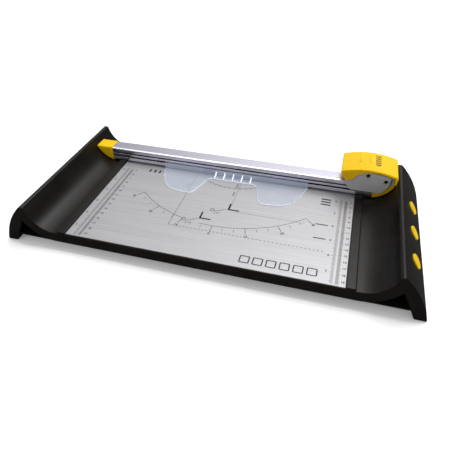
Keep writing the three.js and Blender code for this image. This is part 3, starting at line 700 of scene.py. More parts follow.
def top_shell():
    front = [(SHELL.y0 + run, inset) for run, inset in quarter_round(0.9, 0.9, 4)[::-1]]
    rear = [(SHELL.y1 - run, inset) for run, inset in quarter_round(3.6, 2.2, 6)]
    shell = loft("shell", shell_outline(), front + rear, "Y")
    reach, ceiling = FENCE_OUTER - 4, 21.5
    bed_cavity = Box(-reach, reach, SHELL.y0 + WALL, SHELL.y1 - WALL, 0, ceiling)
    recess = Box(-FENCE_INNER, FENCE_INNER, PLATE.y0 - GAP / 2, PLATE.y1 + GAP / 2, PLATE.z0, BED_TOP + 5)
    channel = Box(MAT.x0 - GAP, MAT.x1 + GAP, MAT.y0 - GAP, MAT.y1 + GAP, MAT.z0, MAT.z1 + 5)
    lane = Box(-FENCE_OUTER - 1, FENCE_OUTER + 1, CUT_LINE - 6, CUT_LINE + 6, BED_TOP, BED_TOP + 6)
    carve(shell, wing_cavity(-1), wing_cavity(1), cutter(bed_cavity), cutter(recess))
    carve(shell, cutter(channel), cutter(lane), cutter(*foot_pockets()), rear_corner())
    places, normal = hub_places()
    carve(shell, *[hub_hole(place, normal) for place in places])
    piece(shell, "base", "black_plastic", BLACK, "top_shell")


def bed_plate():
    plate = rounded("plate", rectangle(*PLATE[:4], 0.8), "Z", PLATE.z0, PLATE.z1, 0.18, steps=2)
    piece(plate, "base", "bed_steel", BED_METAL, "bed_plate")


def cutting_mat():
    """The strip under the blade, with the score line it has been cut along."""
    mat = block("mat_strip", MAT, 0.35)
    half, above, deep = 0.35, MAT.z1 + 0.2, MAT.z1 - 0.25
    score = [(CUT_LINE - half, above), (CUT_LINE, deep), (CUT_LINE + half, above)]
    carve(mat, prism(score, MAT.x0 + 3, MAT.x1 - 3, "X"))
    piece(mat, "base", "mat_black", MAT_PLASTIC, "cutting_mat")


def wing_liner(side, word):
    """The sheet that closes a wing from below: level with the slab, then down the foot."""
    low, high = SLAB_BOTTOM, SLAB_BOTTOM + LINER_THICKNESS
    under = DISH.r + RIBBON
    peak = (DISH.x + under * math.cos(APEX_ANGLE), DISH.z + under * math.sin(APEX_ANGLE))
    slope = (FOOT_INNER - peak[0]) / (peak[1] - SHELL.z0)
    leg = LINER_THICKNESS * math.hypot(1, slope)
    inside = 0.05

    def foot_x(z):
        return FOOT_INNER - (z - SHELL.z0) * slope

    outline = [
        (LINER.x0, low), (foot_x(low), low), (foot_x(LINER.z0), LINER.z0),
        (foot_x(LINER.z0) + leg, LINER.z0), (foot_x(high) + leg, high), (LINER.x0, high),
    ]
    start, stop = (angle_at(DISH, under + GAP, z) for z in (high - inside, low + inside))
    lip = arc(DISH, under + GAP, start, stop, 6)
    lip += [(foot_x(low) - 0.4, low + inside), (foot_x(high) - 0.4, high - inside)]
    front, rear = SHELL.y0 + WALL + GAP, SHELL.y1 - WALL - GAP
    liner = rounded(f"{word}_liner", mirror(outline, side), "Y", front, rear, 0.3, steps=2)
    fuse(liner, rounded("cutter", mirror(lip, side), "Y", LINER.y0, LINER.y1, 0.3, steps=2))
    piece(liner, "base", "black_plastic", BLACK, f"{word}_wing_liner")


def rubber_foot(node, name):
    """A pad with three grooves across its underside."""
    box = cad_box(node)
    pad = block(name, box, 0.5)
    pitch, half, depth = 6, 0.6, 0.45
    grooves = []
    for i in (-1, 0, 1):
        middle = box.y + i * pitch
        grooves.append(Box(box.x0 - 1, box.x1 + 1, middle - half, middle + half, -0.5, depth))
    carve(pad, cutter(*grooves))
    piece(pad, "base", "rubber", RUBBER, node)


def screw(name, node, body, matrix, head, rise, shank, length, metal=STEEL):
    """A pan-head screw with a cross recess: its head's underside is at the matrix's origin."""
    pitch = 0.9
    profile = [(0, -rise), (head * 0.62, -rise), (head * 0.86, -rise * 0.82), (head * 0.97, -rise * 0.5),
               (head, -rise * 0.12), (head, 0), (shank, 0)]
    for i in range(int((length - 2 * shank) / pitch)):
        z = pitch * i
        profile += [(shank, z + 0.25), (shank * 0.82, z + 0.5), (shank * 0.82, z + 0.7), (shank, z + pitch)]
    profile += [(shank * 0.8, length - shank), (0, length)]
    obj = lathe(name, profile, matrix, 40)
    scaled = matrix.copy()
    scaled.translation *= MM
    long, short, deep = head * 0.52, head * 0.12, rise * 0.65
    arms = []
    for a, b in ((long, short), (short, long)):
        arm = cutter(Box(-a, a, -b, b, -rise - 1, -rise + deep))
        arm.data.transform(scaled)
        arms.append(arm)
    carve(obj, *arms)
    piece(obj, body, "steel", metal, node)


def base_screws():
    for i in range(1, 7):
        box = cad_box(f"cover_screw_{i}")
        spot = Matrix.Translation((box.x, box.y, SLAB_BOTTOM))
        screw(f"base_screw_{i}", f"cover_screw_{i}", "base", spot, 3, 1.6, 1.4, 8)
    for word in ("left", "right"):
        box = cad_box(f"{word}_cap_screw")
        rise = 2
        spot = Matrix.Translation((box.x, box.y, box.z0 + rise))
        length = box.z1 - box.z0 - rise
        screw(f"{word}_end_screw", f"{word}_cap_screw", "base", spot, 3, rise, 1.4, length)


# ---- Rail ----
GROOVE, GROOVE_LOW, GROOVE_HIGH = 1.5, 37.4, 39.4
SLOT, SLOT_LOW, SLOT_HIGH = 3, 32, 34.5


def notch(face, inward, first, second, lip):
    """A square groove's corners on an upright face, from its first height to its second."""
    bottom = face + inward
    return [(face, first, lip), (bottom, first, 0.2), (bottom, second, 0.2), (face, second, lip)]


def rail():
    front, rear = RAIL.y0, RAIL.y1
    outline = soften(
        [(front, RAIL.z0, 0.7), (rear, RAIL.z0, 0.7)]
        + notch(rear, -GROOVE, GROOVE_LOW, GROOVE_HIGH, 0.25)
        + [(rear, RAIL.z1, 1.6), (front, RAIL.z1, 3.6)]
        + notch(front, GROOVE, GROOVE_HIGH, GROOVE_LOW, 0.35)
        + notch(front, SLOT, SLOT_HIGH, SLOT_LOW, 0.35)
    )
    profile = rounded("rail_profile", outline, "X", RAIL.x0, RAIL.x1, 0.2, steps=2)
    hollow_low, hollow_high = 29.2, 43.2
    hollow = rectangle(front + 4.3, rear - 1.8, hollow_low, hollow_high, 0.8)
    carve(profile, prism(hollow, RAIL.x0 - 1, RAIL.x1 + 1, "X"))
    piece(profile, "base", "aluminium", RAIL_METAL, "rail")

    # Painted shade: faces inside the front slot and both grooves get the near-black material, for the shade
    # in these hollows.
    def in_groove(centre, normal):
        depth = min(centre.y - front, rear - centre.y)
        deep = front + 0.45 < centre.y < front + SLOT + 0.1 and SLOT_LOW - 0.1 < centre.z < SLOT_HIGH + 0.1
        return deep or (0.3 < depth < GROOVE + 0.1 and GROOVE_LOW - 0.1 < centre.z < GROOVE_HIGH + 0.1)

    accent(profile, PAINTED_SLOT_SHADE, in_groove)


def rail_cap(side, word):
    """The yellow block that fills the dish at the rail's end."""
    box = cad_box("right_rail_cap")
    inner = RAIL.x1 + GAP
    radius = DISH.r - GAP
    curve = arc(DISH, radius, -math.acos((inner - DISH.x) / radius), angle_at(DISH, radius, box.z1), 24)
    outline = soften([curve[0] + (0.6,)] + curve[1:-1] + [curve[-1] + (3,), (inner, box.z1, 0.5)])
    body = rounded(f"{word}_cap", mirror(outline, side), "Y", box.y0, box.y1, 2.4, 1.4, steps=6)
    xs = sorted((side * box.x0, side * (inner + 1)))
    tongue_low, tongue_high = 29.5, 42.9
    fuse(body, cutter(Box(*xs, box.y0 + 4.8, box.y1 - 2.1, tongue_low, tongue_high)))
    bore = cad_box(f"{word}_cap_screw")
    radius, depth, bottom = 1.8, 18.5, 20
    carve(body, hole(radius, depth, Matrix.Translation((bore.x, bore.y, bottom)), 24))
    piece(body, "base", "yellow_plastic", YELLOW, f"{word}_rail_cap")


# ---- Bed print ----
INK_LOW = BED_TOP - 0.01
INK_HIGH = BED_TOP + 0.03
INCH = 25.4
RULER_END = 194


class Print:
    """Flat ink shapes laid on the bed, gathered in one mesh."""

    def __init__(self):
        self.bm = bmesh.new()

    def shape(self, points):
        add_loft(self.bm, points, [(INK_LOW, 0), (INK_HIGH, 0)], "Z")

    def bar(self, x0, y0, x1, y1, width):
        start, stop = Vector((x0, y0)), Vector((x1, y1))
        direction = (stop - start).normalized()
        across = Vector((-direction.y, direction.x)) * width / 2
        corners = (start + across, start - across, stop - across, stop + across)
        self.shape([(p.x, p.y) for p in corners])

    def frame(self, corners, width):
        """Bars along a closed outline."""
        for a, b in zip(corners, corners[1:] + corners[:1]):
            self.bar(*a, *b, width)

    def dashes(self, x0, y0, x1, y1, width, dash, gap):
        start, stop = Vector((x0, y0)), Vector((x1, y1))
        length = (stop - start).length
        direction = (stop - start) / length
        at = 0
        while at < length:
            self.bar(*(start + direction * at), *(start + direction * min(at + dash, length)), width)
            at += dash + gap

    def band(self, centre, radius, start, stop, width):
        """Part of a ring; angles in degrees from straight down, to the right."""
        steps = max(6, int(abs(stop - start) / 2))
        points = []
        for r, order in ((radius + width / 2, range(steps + 1)), (radius - width / 2, range(steps, -1, -1))):
            for i in order:
                points.append(tuple(Vector(centre) + r * ray(start + (stop - start) * i / steps)))
        self.shape(points)

    def ring(self, centre, radius, width):
        for start in (-180, 0):
            self.band(centre, radius, start, start + 179.5, width)

    def tick(self, centre, degrees, near, far, width):
        """A bar across a band, between two distances from its centre."""
        spoke = ray(degrees)
        self.bar(*(Vector(centre) + spoke * near), *(Vector(centre) + spoke * far), width)

    def number(self, text, x, y, height, turn=0):
        curve = with_settings(
            bpy.data.curves.new("number", "FONT"), body=text, size=height * 1.4, align_x="CENTER",
            align_y="CENTER", extrude=(INK_HIGH - INK_LOW) / 2, offset=0.1, resolution_u=3)
        holder = linked("number", curve)
        graph = bpy.context.evaluated_depsgraph_get()
        graph.update()
        mesh = bpy.data.meshes.new_from_object(holder.evaluated_get(graph))
        middle = Vector((x, y, (INK_LOW + INK_HIGH) / 2))
        mesh.transform(Matrix.Translation(middle) @ Matrix.Rotation(turn, 4, "Z"))
        self.bm.from_mesh(mesh)
        bpy.data.objects.remove(holder)
        bpy.data.curves.remove(curve)
        bpy.data.meshes.remove(mesh)

    def done(self, name, material):
        bmesh.ops.remove_doubles(self.bm, verts=self.bm.verts, dist=1e-4)
        piece(object_from(self.bm, name), "base", "bed_steel", material)


def ray(degrees):
    """The direction at so many degrees from straight down, to the right."""
    return Vector((math.sin(math.radians(degrees)), -math.cos(math.radians(degrees))))


def scale(marks, numbers, pitch, first, lengths, x, number_x, grow, width, height):
    """Ticks measured from the cut line; lengths pairs how often a tick comes with how long it is."""
    whole = lengths[0][0]
    for i in range(first, int(RULER_END / pitch) + 1):
        length = next(size for every, size in lengths if i % every == 0)
        y = CUT_LINE - i * pitch
        start = x - grow * 2.1
        marks.bar(start, y, start + grow * length, y, width)
        if i % whole == 0:
            numbers.number(str(i // whole), number_x, y, height)


def ruler(marks, numbers, cm_x, inch_x, cm_number_x, inch_number_x):
    """A centimetre and an inch scale back to back."""
    millimetres = ((10, 4.4), (5, 3.9), (1, 3.4))
    sixteenths = ((16, 4.4), (8, 4.0), (4, 3.6), (1, 3.0))
    scale(marks, numbers, 1, 48, millimetres, cm_x, cm_number_x, 1, 0.42, 3.0)
    scale(marks, numbers, INCH / 16, 30, sixteenths, inch_x, inch_number_x, -1, 0.46, 3.2)


def protractor(lines, numbers):
    """Two arcs of angle marks: a large one with numbers, and a small one inside it."""
    centre, radius, end = (1, 103), 148.8, 44.5
    lines.band(centre, radius, -end, -15.3, 0.6)
    lines.band(centre, radius, -6.4, end, 0.6)
    for mark in range(-45, 50, 5):
        degrees = max(-end, min(end, mark))
        if mark % 15:
            lines.tick(centre, degrees, radius + 3, radius + 7.4, 0.5)
            continue
        lines.tick(centre, degrees, radius, radius + 11, 0.65)
        spot = Vector(centre) + ray(degrees) * (radius + 14.5)
        numbers.number(str(abs(mark)), spot.x, spot.y, 3.6, math.radians(degrees))
    centre, radius = (0.5, 103), 67.5
    lines.band(centre, radius, -33, 33, 0.6)
    for degrees in range(-30, 35, 6):
        lines.tick(centre, degrees, radius, radius + 2.6, 0.6)


def format_guides(lines, bold):
    """Guide lines for the smaller paper sizes, in from the right-hand side."""
    a5_x, a5_y = -50.3, CUT_LINE - 148.5
    lines.bar(a5_x, RAIL.y0, a5_x, a5_y, 0.5)
    lines.dashes(a5_x, a5_y, 132, a5_y, 0.75, 2.4, 2.2)
    a6_x, a6_y = 12.4, CUT_LINE - 105
    lines.dashes(a6_x, RAIL.y0, a6_x, a6_y, 0.65, 2.2, 1.9)
    lines.dashes(a6_x + 9, a6_y, 105, a6_y, 0.65, 2.0, 1.7)
    for x, y in ((-17.8, -35.4), (11.1, -10.4)):
        bold.bar(x, y - 1.1, x, y + 12, 2.2)
        bold.bar(x - 1.1, y, x + 13.4, y, 2.2)
    for x, y in ((a5_x - 3.5, 22), (a6_x - 3.5, 19), (a6_x - 3.5, 38)):
        for i in range(4):
            bold.bar(x - 1.3, y + i * 2.4, x + 1.3, y + i * 2.4 + 0.9, 0.9)
    for y in (-9.9, -35.2):
        bold.bar(117.8, y, 131.8, y, 1.6)


def generic_marks(lines, bold):
    """Plain shapes where the bed carries makers' print, unlike it in form: squares, bars and rings."""
    for x, y in ((-4, -17.5), (-32, -43.5)):
        lines.ring((x - 4, y + 1.5), 2.3, 0.8)
        lines.bar(x - 1.4, y - 1.2, x + 11.5, y + 6.2, 0.7)
        for i in range(3):
            lines.bar(x - 0.5 + i * 2.6, y - 5 + i * 1.2, x + 1.2 + i * 2.6, y - 4.3 + i * 1.2, 1.1)
    left, low, side, pitch = 46, -96, 10, 14.5
    for i in range(6):
        x = left + i * pitch
        bold.frame([(x, low), (x + side, low), (x + side, low + side), (x, low + side)], 1.3)
    for i in range(3):
        y = 31 + i * 5.5
        bold.bar(119, y, 131, y, 2.4)
    for i in range(3):
        x = -117 + i * 7
        bold.bar(x, 44, x, 51, 2.6)


def bed_print():
    ticks, numbers, lines, bold = Print(), Print(), Print(), Print()
    ruler(ticks, numbers, -142, -149, -136.3, -155)
    ruler(ticks, numbers, 149.9, 143.2, 155.4, 137.3)
    protractor(lines, numbers)
    format_guides(lines, bold)
    generic_marks(lines, bold)
    ticks.done("ruler_ticks", SOFT_INK)
    numbers.done("ruler_numbers", INK)
    lines.done("guide_lines", SOFT_INK)
    bold.done("bold_marks", INK)


# ---- Paper guard ----
def guard_outline():
    """The sheet from above: two lobes joined by a narrow strip along the rail."""
    half = [
        (98.8, 60.2), (95.8, 48, 5), (93, 37, 5), (89.3, 28.5, 4), (84.6, 21.5, 4), (78.3, 16, 4),
        (70.5, 12.2, 4), (62, 10.6, 4), (50, 10.2, 2), (45.4, 10.4, 1.6), (42.9, 14.5, 1.6),
        (36.9, 33.5, 2), (33, 46.2, 2.2), (29.4, 49.5, 1.6),
    ]
    return soften(half + mirror(half, -1)[::-1])


def paper_guard():
    """The clear sheet, the strip and bead that hook into the rail's slot, and five ribs."""
    low, front, rear, hinge_y, hinge_z, bead = GUARD.z0, 58.8, 60.2, 61.7, 33.2, 0.6
    sheet = rounded("clear_guard", guard_outline(), "Z", low, low + 1.4, 0.3, steps=2)
    tip = hinge_y + 0.7
    hook = soften([
        (front, low + 0.3), (rear, low + 0.3), (rear, hinge_z - bead, 0.3), (hinge_y, hinge_z - bead),
        (tip, hinge_z - 0.9, 0.5), (tip, hinge_z + 0.9, 0.5), (hinge_y, hinge_z + bead),
        (front, hinge_z + bead, 0.8),
    ])
    hook_strip = rounded("cutter", hook, "X", GUARD.x0 + 0.2, GUARD.x1 - 0.2, 0.3, steps=2)
    pitch, half, rib_front, sunk = 12.2, 0.5, 49.9, low + 1
    side = [(front + 0.5, 31.5), (front + 0.5, sunk), (rib_front, sunk), (rib_front, 27.3)]
    middles = [i * pitch - 0.6 for i in range(-2, 3)]
    fuse(sheet, hook_strip, *[prism(side, x - half, x + half, "X") for x in middles])
    piece(sheet, "guard", "clear_guard", CLEAR, "paper_guard")

    # Painted glow and highlight: the sheet's upright rim and the ribs' tops get the glowing edge material.
    def on_edge(centre, normal):
        rim = abs(normal.z) < 0.8 and centre.z < low + 1.6 and centre.y < front - 0.3
        rib = centre.z > low + 1.55 and rib_front - 0.4 < centre.y < front - 0.05
        return rim or rib

    accent(sheet, CLEAR_EDGE_GLOW, on_edge)


# ---- Carriage ----
def arch_z(x, drop=0):
    """The height of the cover's arched top."""
    return ARCH.z - drop - (x - ARCH.x) ** 2 / (2 * ARCH.r)


def arch_points(low, high, drop, steps):
    xs = [high + (low - high) * i / steps for i in range(steps + 1)]
    return [(x, arch_z(x, drop)) for x in xs]


def cheek_sides(right_start, right_stop, steps, corner):
    """The cheek circle's arcs on the right and on the left, with softened lower ends."""
    right = arc(CHEEK_CIRCLE, CHEEK_CIRCLE.r, right_start, right_stop, steps)
    left = arc(CHEEK_CIRCLE, CHEEK_CIRCLE.r, math.pi - right_stop, math.pi - right_start, steps)
    return [right[0] + (corner,)] + right[1:], left[:-1] + [left[-1] + (corner,)]


def front_cheek():
    low = angle_at(CHEEK_CIRCLE, CHEEK_CIRCLE.r, CHEEK.z0)
    right, left = cheek_sides(low, math.pi / 45, 24, 2.2)
    top = arch_points(CHEEK_CIRCLE.x - 26, CHEEK_CIRCLE.x + 26, HEADROOM, 24)
    cheek = rounded("cheek", soften(right + top + left), "Y", CHEEK.y0, CHEEK.y1, 0.6, 0.2)
    profile = [(0, -2), (3.6, -2), (3.4, -0.05), (3.05, 0.3), (3, 2), (SCREW_HOLE, 2),
               (SCREW_HOLE, 5), (0, 5)]
    for i in (1, 2):
        box = cad_box(f"cheek_screw_{i}")
        face, seat = (along_axis(Vector((box.x, y, box.z)), (0, 1, 0)) for y in (CHEEK.y0, CHEEK.y0 + 2))
        carve(cheek, lathe("cutter", profile, face, 40))
        screw(f"carriage_screw_{i}", f"cheek_screw_{i}", "carriage", seat, 2.1, 1.1, 1.1, 3.4, OXIDE)
    piece(cheek, "carriage", "grey_plastic", GREY, "front_cheek")


def carriage_body():
    """The saddle on the rail, the upright behind the cheek and the skirt behind the rail."""
    saddle_low, saddle_high = 46, 49
    saddle = block("carriage_frame", Box(*BODY[:4], saddle_low, saddle_high), 0.5)
    foot = saddle_low + 0.2
    outline = soften(
        [(BODY.x0, foot, 0.8), (BODY.x1, foot, 0.8), (BODY.x1, arch_z(BODY.x1, HEADROOM), 1.5)]
        + arch_points(BODY.x0 + 3, BODY.x1 - 3, HEADROOM, 24)
        + [(BODY.x0, arch_z(BODY.x0, HEADROOM), 1.5)]
    )
    upright = rounded("cutter", outline, "Y", BODY.y0, BODY.y0 + 3, 0.3, steps=2)
    half, skirt_front, skirt_top = 20, 80.4, saddle_high - 0.5
    skirt_box = Box(ARCH.x - half, ARCH.x + half, skirt_front, BODY.y1 - 0.05, BODY.z0, skirt_top)
    skirt = block("cutter", skirt_box, 0.4)
    fuse(saddle, upright, skirt)
    bores = []
    for i in (1, 2):
        box = cad_box(f"cheek_screw_{i}")
        spot = Vector((box.x, BODY.y0 - 1, box.z))
        bores.append(hole(SCREW_HOLE, 3.8, along_axis(spot, (0, 1, 0)), 20))
    start, stop = -0.45, 0.16
    gap = arc(CHEEK_CIRCLE, CHEEK_CIRCLE.r - GAP, start, stop, 20)
    gap += arc(CHEEK_CIRCLE, CHEEK_CIRCLE.r + 1.7, stop, start, 20)
    carve(saddle, *bores, prism(gap, BODY.y0 - 1, BODY.y0 + 2.5, "Y"))
    piece(saddle, "carriage", "pale_plastic", PALE, "carriage_body")


# ---- Press cover ----
def cover_outline():
    """The arched hood from the front: its left end tucks in well under the arch."""
    x0, x1 = COVER.x0, COVER.x1
    shoulder = arch_z(x0) - 1
    return soften(
        [(x0 + 8, COVER_END_LOW, 1.4), (x1 - 1.6, COVER_END_LOW, 0.8), (x1, COVER_END_LOW + 3, 1.5)]
        + [(x1, arch_z(x1), 3)] + arch_points(x0 + 2, x1 - 2, 0, 40)
        + [(x0, shoulder + 0.4, 1.8), (x0 + 1.4, shoulder - 3.4, 1.2)]
        + [(x0 + 3.2, shoulder - 6.2), (x0 + 5, shoulder - 9.6, 1.4)]
    )


def cover_hollow():
    """The hood's inside, open below and under its left end."""
    x0, x1 = COVER.x0 + SKIN, COVER.x1 - SKIN
    outside, left_low = COVER.x0 - 1, 56
    return soften(
        [(outside, COVER_END_LOW - 1), (x1 - 1.6, COVER_END_LOW - 1), (x1, COVER_END_LOW + 3)]
        + [(x1, arch_z(x1, SKIN), 2)] + arch_points(x0 + 2, x1 - 2, SKIN, 30)
        + [(x0, arch_z(x0, SKIN), 1.2), (x0, arch_z(x0, SKIN) - 1), (x0 + 2.2, left_low), (outside, left_low)]
    )


def front_window():
    """What is cut away under the front wall: an S-shaped lower edge, deep at the left."""
    edge = [(146, 49.8), (149, 50.2), (152.6, 53.1), (156.1, 57.6), (160.8, 61.4), (168.8, 63.9),
            (180.5, 64.5), (189.1, 63), (197.1, 61.1), (206, 58.6)]
    below, last = 40, len(edge) - 1
    smooth = []
    for i in range(last):
        a, b, c, d = (Vector(edge[max(0, min(last, i + k))]) for k in (-1, 0, 1, 2))
        for k in range(6):
            t = k / 6
            spot = 0.5 * ((2 * b) + (c - a) * t + (2 * a - 5 * b + 4 * c - d) * t * t
                          + (3 * b - a - 3 * c + d) * t ** 3)
            smooth.append((spot.x, spot.y))
    return [(edge[-1][0], below), (edge[0][0], below)] + smooth + [edge[-1]]


def rear_wall():
    low, side = (angle_at(CHEEK_CIRCLE, CHEEK_CIRCLE.r, z) for z in (COVER.z0, COVER_END_LOW + SKIN))
    right, left = cheek_sides(low, side, 16, 2)
    return soften(right + left)


def grip_rib(x):
    """A low rounded rib across the top of the cover, for the palm."""
    half, rise = 1.5, 0.85
    outline = []
    for i in range(9):
        angle = math.pi * i / 8
        across = half * math.cos(angle)
        outline.append((x + across, arch_z(x + across) + rise * math.sin(angle) - 0.1))
    outline += [(x - half, arch_z(x) - 1), (x + half, arch_z(x) - 1)]
    return rounded("cutter", outline, "Y", COVER.y0 + 19, COVER.y0 + 37, 0.5)


def press_cover():
    front, rear, rail_end = COVER.y0, COVER.y1, BODY.x1 + 0.4
    cover = rounded("hood", cover_outline(), "Y", front, rear, 1.3, 2.2, steps=6)
    hollow = rounded("cutter", cover_hollow(), "Y", front + SKIN, rear - SKIN, 0.5)
    flare = [(front - 0.6, -0.5), (front - 0.05, -0.45), (front + 0.4, 0), (front + SKIN + 0.6, 0)]
    carve(cover, hollow, loft("cutter", front_window(), flare, "Y"))
    wall = rounded("cutter", rear_wall(), "Y", rear - SKIN, rear - 0.02, 0.3, 0.6)
    half, holder_front, holder_top, lip_top = 14, 83.4, 62.8, 59
    seat = cutter(Box(ARCH.x - half, ARCH.x + half, holder_front, CUT_LINE - 4.5,
                      holder_top, arch_z(ARCH.x + half, 1)))
    lip = cutter(Box(rail_end, COVER.x1 - 1, front + 0.6, front + 8, COVER_END_LOW + 2.2, lip_top))
    grips = (145.2, 158.2, 170.2, 191.8)
    fuse(cover, wall, seat, lip, *[grip_rib(x) for x in grips])
    piece(cover, "press_head", "yellow_plastic", YELLOW, "press_cover")


def cover_mark():
    """A printed row of chevrons on the cover, where it is pressed."""
    bm = bmesh.new()
    middle, width, rise, stroke = 179.6, 3.3, 2.6, 2.6
    for i in range(5):
        tip = COVER.y0 + 13 + i * 5.2
        arm = tip + rise
        outline = [(middle, tip), (middle + width, arm), (middle + width, arm + stroke),
                   (middle, tip + stroke), (middle - width, arm + stroke), (middle - width, arm)]
        lower = [bm.verts.new((a, b, arch_z(a) - 0.05)) for a, b in outline]
        upper = [bm.verts.new((a, b, arch_z(a) + 0.04)) for a, b in outline]
        for k in range(len(outline)):
            bm.faces.new((lower[k - 1], lower[k], upper[k], upper[k - 1]))
        for ring in (lower, upper):
            bm.faces.new(ring[:4])
            bm.faces.new((ring[0], *ring[3:]))
    piece(object_from(bm, "press_chevrons"), "press_head", "yellow_plastic", COVER_INK)


# ---- Spare cartridges ----
def spare_cartridges():
    """Each yellow cartridge sits behind the flank, with its hub a little proud of a round hole."""
    places, normal = hub_places()
    profile = [(0, -7.2), (15.6, -7.2), (16, -6.9), (16, -5.1), (15.7, -4.8), (8.3, -4.8),
               (8.3, 0.3), (8.1, 0.75), (7.6, 1.0), (6.4, 1.15), (5.9, 0.95), (0, 0.8)]
    for i, place in enumerate(places, start=1):
        cartridge = lathe(f"spare_{i}", profile, along_axis(place, normal), 72)
        piece(cartridge, f"spare_{i}", "yellow_plastic", YELLOW, f"spare_cartridge_{i}")


# ---- Return springs ----
def coil_path(box, wire, turns, per_turn):
    """Points along a coil that lies flat for most of its first and last turns."""
    radius = (box.x1 - box.x0) / 2 - wire
    low, high = box.z0 + wire, box.z1 - wire
    flat, count = 0.8, int(turns * per_turn)
    path = []
    for k in range(count + 1):
        turned = k / count * turns
        rise = min(max((turned - flat) / (turns - 2 * flat), 0), 1)
        creep = wire * 2 * (min(turned, flat) - flat + max(turned - turns + flat, 0)) / flat
        angle = 2 * math.pi * turned
        z = low + 2 * wire + (high - low - 4 * wire) * rise + creep
        path.append(Vector((box.x + radius * math.cos(angle), box.y + radius * math.sin(angle), z)))
    return path


def return_spring(i):
    """A coil spring whose first and last turns lie flat; it rides with the press head."""
    box = cad_box(f"return_spring_{i}")
    wire, sides = 0.45, 10
    path = coil_path(box, wire, 5.5, 36)
    bm = bmesh.new()
    rings = []
    for k, spot in enumerate(path):
        ahead = (path[min(k + 1, len(path) - 1)] - path[max(k - 1, 0)]).normalized()
        side = ahead.cross(Vector((0, 0, 1))).normalized()
        up = side.cross(ahead)
        ring = []
        for j in range(sides):
            angle = 2 * math.pi * j / sides
            ring.append(bm.verts.new(spot + (side * math.cos(angle) + up * math.sin(angle)) * wire))
        rings.append(ring)
    for lower, upper in zip(rings, rings[1:]):
        for j in range(sides):
            bm.faces.new((lower[j], lower[j - 1], upper[j - 1], upper[j]))
    bm.faces.new(rings[0])
    bm.faces.new(rings[-1])
    coil = object_from(bm, f"coil_{i}")
    piece(coil, "press_head", "steel", STEEL, f"return_spring_{i}", angle=50)
    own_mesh(coil)


# ---- Floor, light and camera ----
def floor():
    """White paper that fades into the background, and looks dark in reflections; it glows as painted light,
    faintly near the middle and fully further out, which whitens the far floor and keeps the shadow short.
    """
    half = 4.0
    mesh = bpy.data.meshes.new("floor")
    corners = [(-half, -half, 0), (half, -half, 0), (half, half, 0), (-half, half, 0)]
    mesh.from_pydata(corners, [], [(0, 1, 2, 3)])
    nodes = Surface("floor_paper")
    glossy = nodes.add("ShaderNodeLightPath").outputs["Is Glossy Ray"]
    paper = nodes.mixed(nodes.noise(3), rgb(0.90, 0.90, 0.90), rgb(0.93, 0.93, 0.93))
    nodes.look(Base_Color=nodes.mixed(glossy, paper, rgb(0.06, 0.058, 0.055)))
    nodes.look(Roughness=0.9, Specular_IOR_Level=0.1)
    # Painted glow: the floor emits white to all but reflection rays, weak near the middle and full further
    # out.
    nodes.look(Emission_Color=nodes.mixed(glossy, rgb(1, 1, 1), rgb(0, 0, 0)))
    distance = nodes.add("ShaderNodeVectorMath", operation="LENGTH")
    nodes.feed(distance.inputs[0], nodes.place)
    nodes.look(Emission_Strength=nodes.ranged(distance.outputs["Value"], 0.18, 1.0, 0.5, 1.3))
    mesh.materials.append(nodes.material)
    linked("floor", mesh)


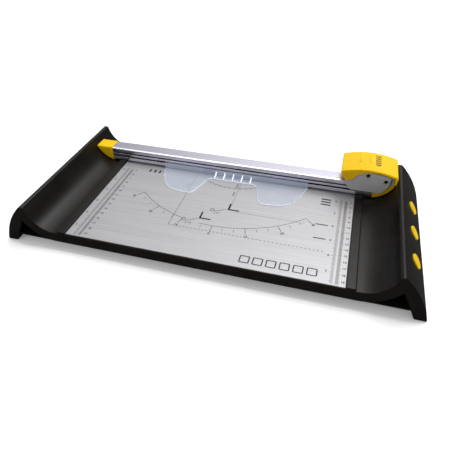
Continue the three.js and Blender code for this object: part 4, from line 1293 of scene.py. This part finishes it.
def sky():
    """White to the camera; to reflections, a soft studio that is brighter to the right."""
    world = bpy.data.worlds.new("studio")
    bpy.context.scene.world = world
    world.use_nodes = True
    nodes = Nodes(world.node_tree)
    toward = nodes.axes(nodes.add("ShaderNodeTexCoord").outputs["Generated"])

    def ramp(axis, start, stop, low, high):
        return nodes.ranged(toward[axis], low, high, start, stop, "SMOOTHSTEP")

    def product(*shades):
        result = shades[0]
        for shade in shades[1:]:
            result = nodes.maths("MULTIPLY", result, shade)
        return result

    depth = ramp("Y", -0.5, 0.4, 0.4, 1.0)
    mirrored = product(ramp("X", -0.65, 0.1, 0.38, 1.25), ramp("X", 0.2, 0.55, 1.0, 0.1), depth,
                       ramp("Z", 0.62, 0.82, 0.95, 2.7))
    scattered = product(ramp("X", -0.75, 0.25, 0.5, 1.1), depth)
    path = nodes.add("ShaderNodeLightPath").outputs
    level = nodes.mixed(path["Is Glossy Ray"], scattered, mirrored, "VALUE")
    level = nodes.mixed(path["Is Camera Ray"], level, 1.0, "VALUE")
    nodes.set(nodes.tree.nodes["Background"], Strength=level, Color=(1, 1, 1, 1))


def area_light(name, place, size, power):
    """A soft lamp that faces the middle of the desk."""
    data = with_settings(bpy.data.lights.new(name, "AREA"), shape="RECTANGLE", size=size[0],
                         size_y=size[1], energy=power)
    with_settings(linked(name, data), location=place, rotation_mode="QUATERNION",
                  rotation_quaternion=(-Vector(place)).to_track_quat("-Z", "Y"))


def camera():
    data = with_settings(bpy.data.cameras.new("camera"), sensor_width=36, lens=35.5)
    place = (0.1280, -0.4295, 0.3558)
    heading, pitch, roll = math.radians(16.17), math.radians(-39.24), math.radians(-0.56)
    turn = (Matrix.Rotation(heading, 4, "Z") @ Matrix.Rotation(math.pi / 2 + pitch, 4, "X")
            @ Matrix.Rotation(roll, 4, "Z"))
    view = linked("camera", data)
    view.matrix_world = Matrix.Translation(place) @ turn
    bpy.context.scene.camera = view


# ---- Assembly ----
top_shell()
bed_plate()
cutting_mat()
rail()
for SIDE, WORD in ((-1, "left"), (1, "right")):
    wing_liner(SIDE, WORD)
    rail_cap(SIDE, WORD)
    for END in ("front", "rear"):
        rubber_foot(f"{WORD}_{END}_foot", f"{WORD}_{END}_pad")
base_screws()
bed_print()
paper_guard()
front_cheek()
carriage_body()
press_cover()
cover_mark()
spare_cartridges()
for INDEX in (1, 2):
    return_spring(INDEX)

keep(BLACK, 0.3, "bottom_cover")
keep(NYLON, 0.2, "front_glide", "rear_glide")
keep(PALE, 0.3, "blade_holder")
keep(GREY, 0.3, "inner_cartridge", "outer_cartridge")
keep(STEEL, 0.2, "guide_post_1", "guide_post_2", "blade_axle")
keep(BLADE_METAL, 0, "cutting_wheel", "spare_wheel_1", "spare_wheel_2", "spare_wheel_3")

floor()
sky()
area_light("key", (0.4, 0.6, 1.45), (1.0, 0.8), 10)
area_light("bank", (0, 0.1, 1.5), (2.6, 0.2), 10.5)
area_light("fill", (-0.6, -1.2, 1.1), (0.6, 0.6), 3.5)
camera()
bpy.context.scene.view_settings.view_transform = "Standard"
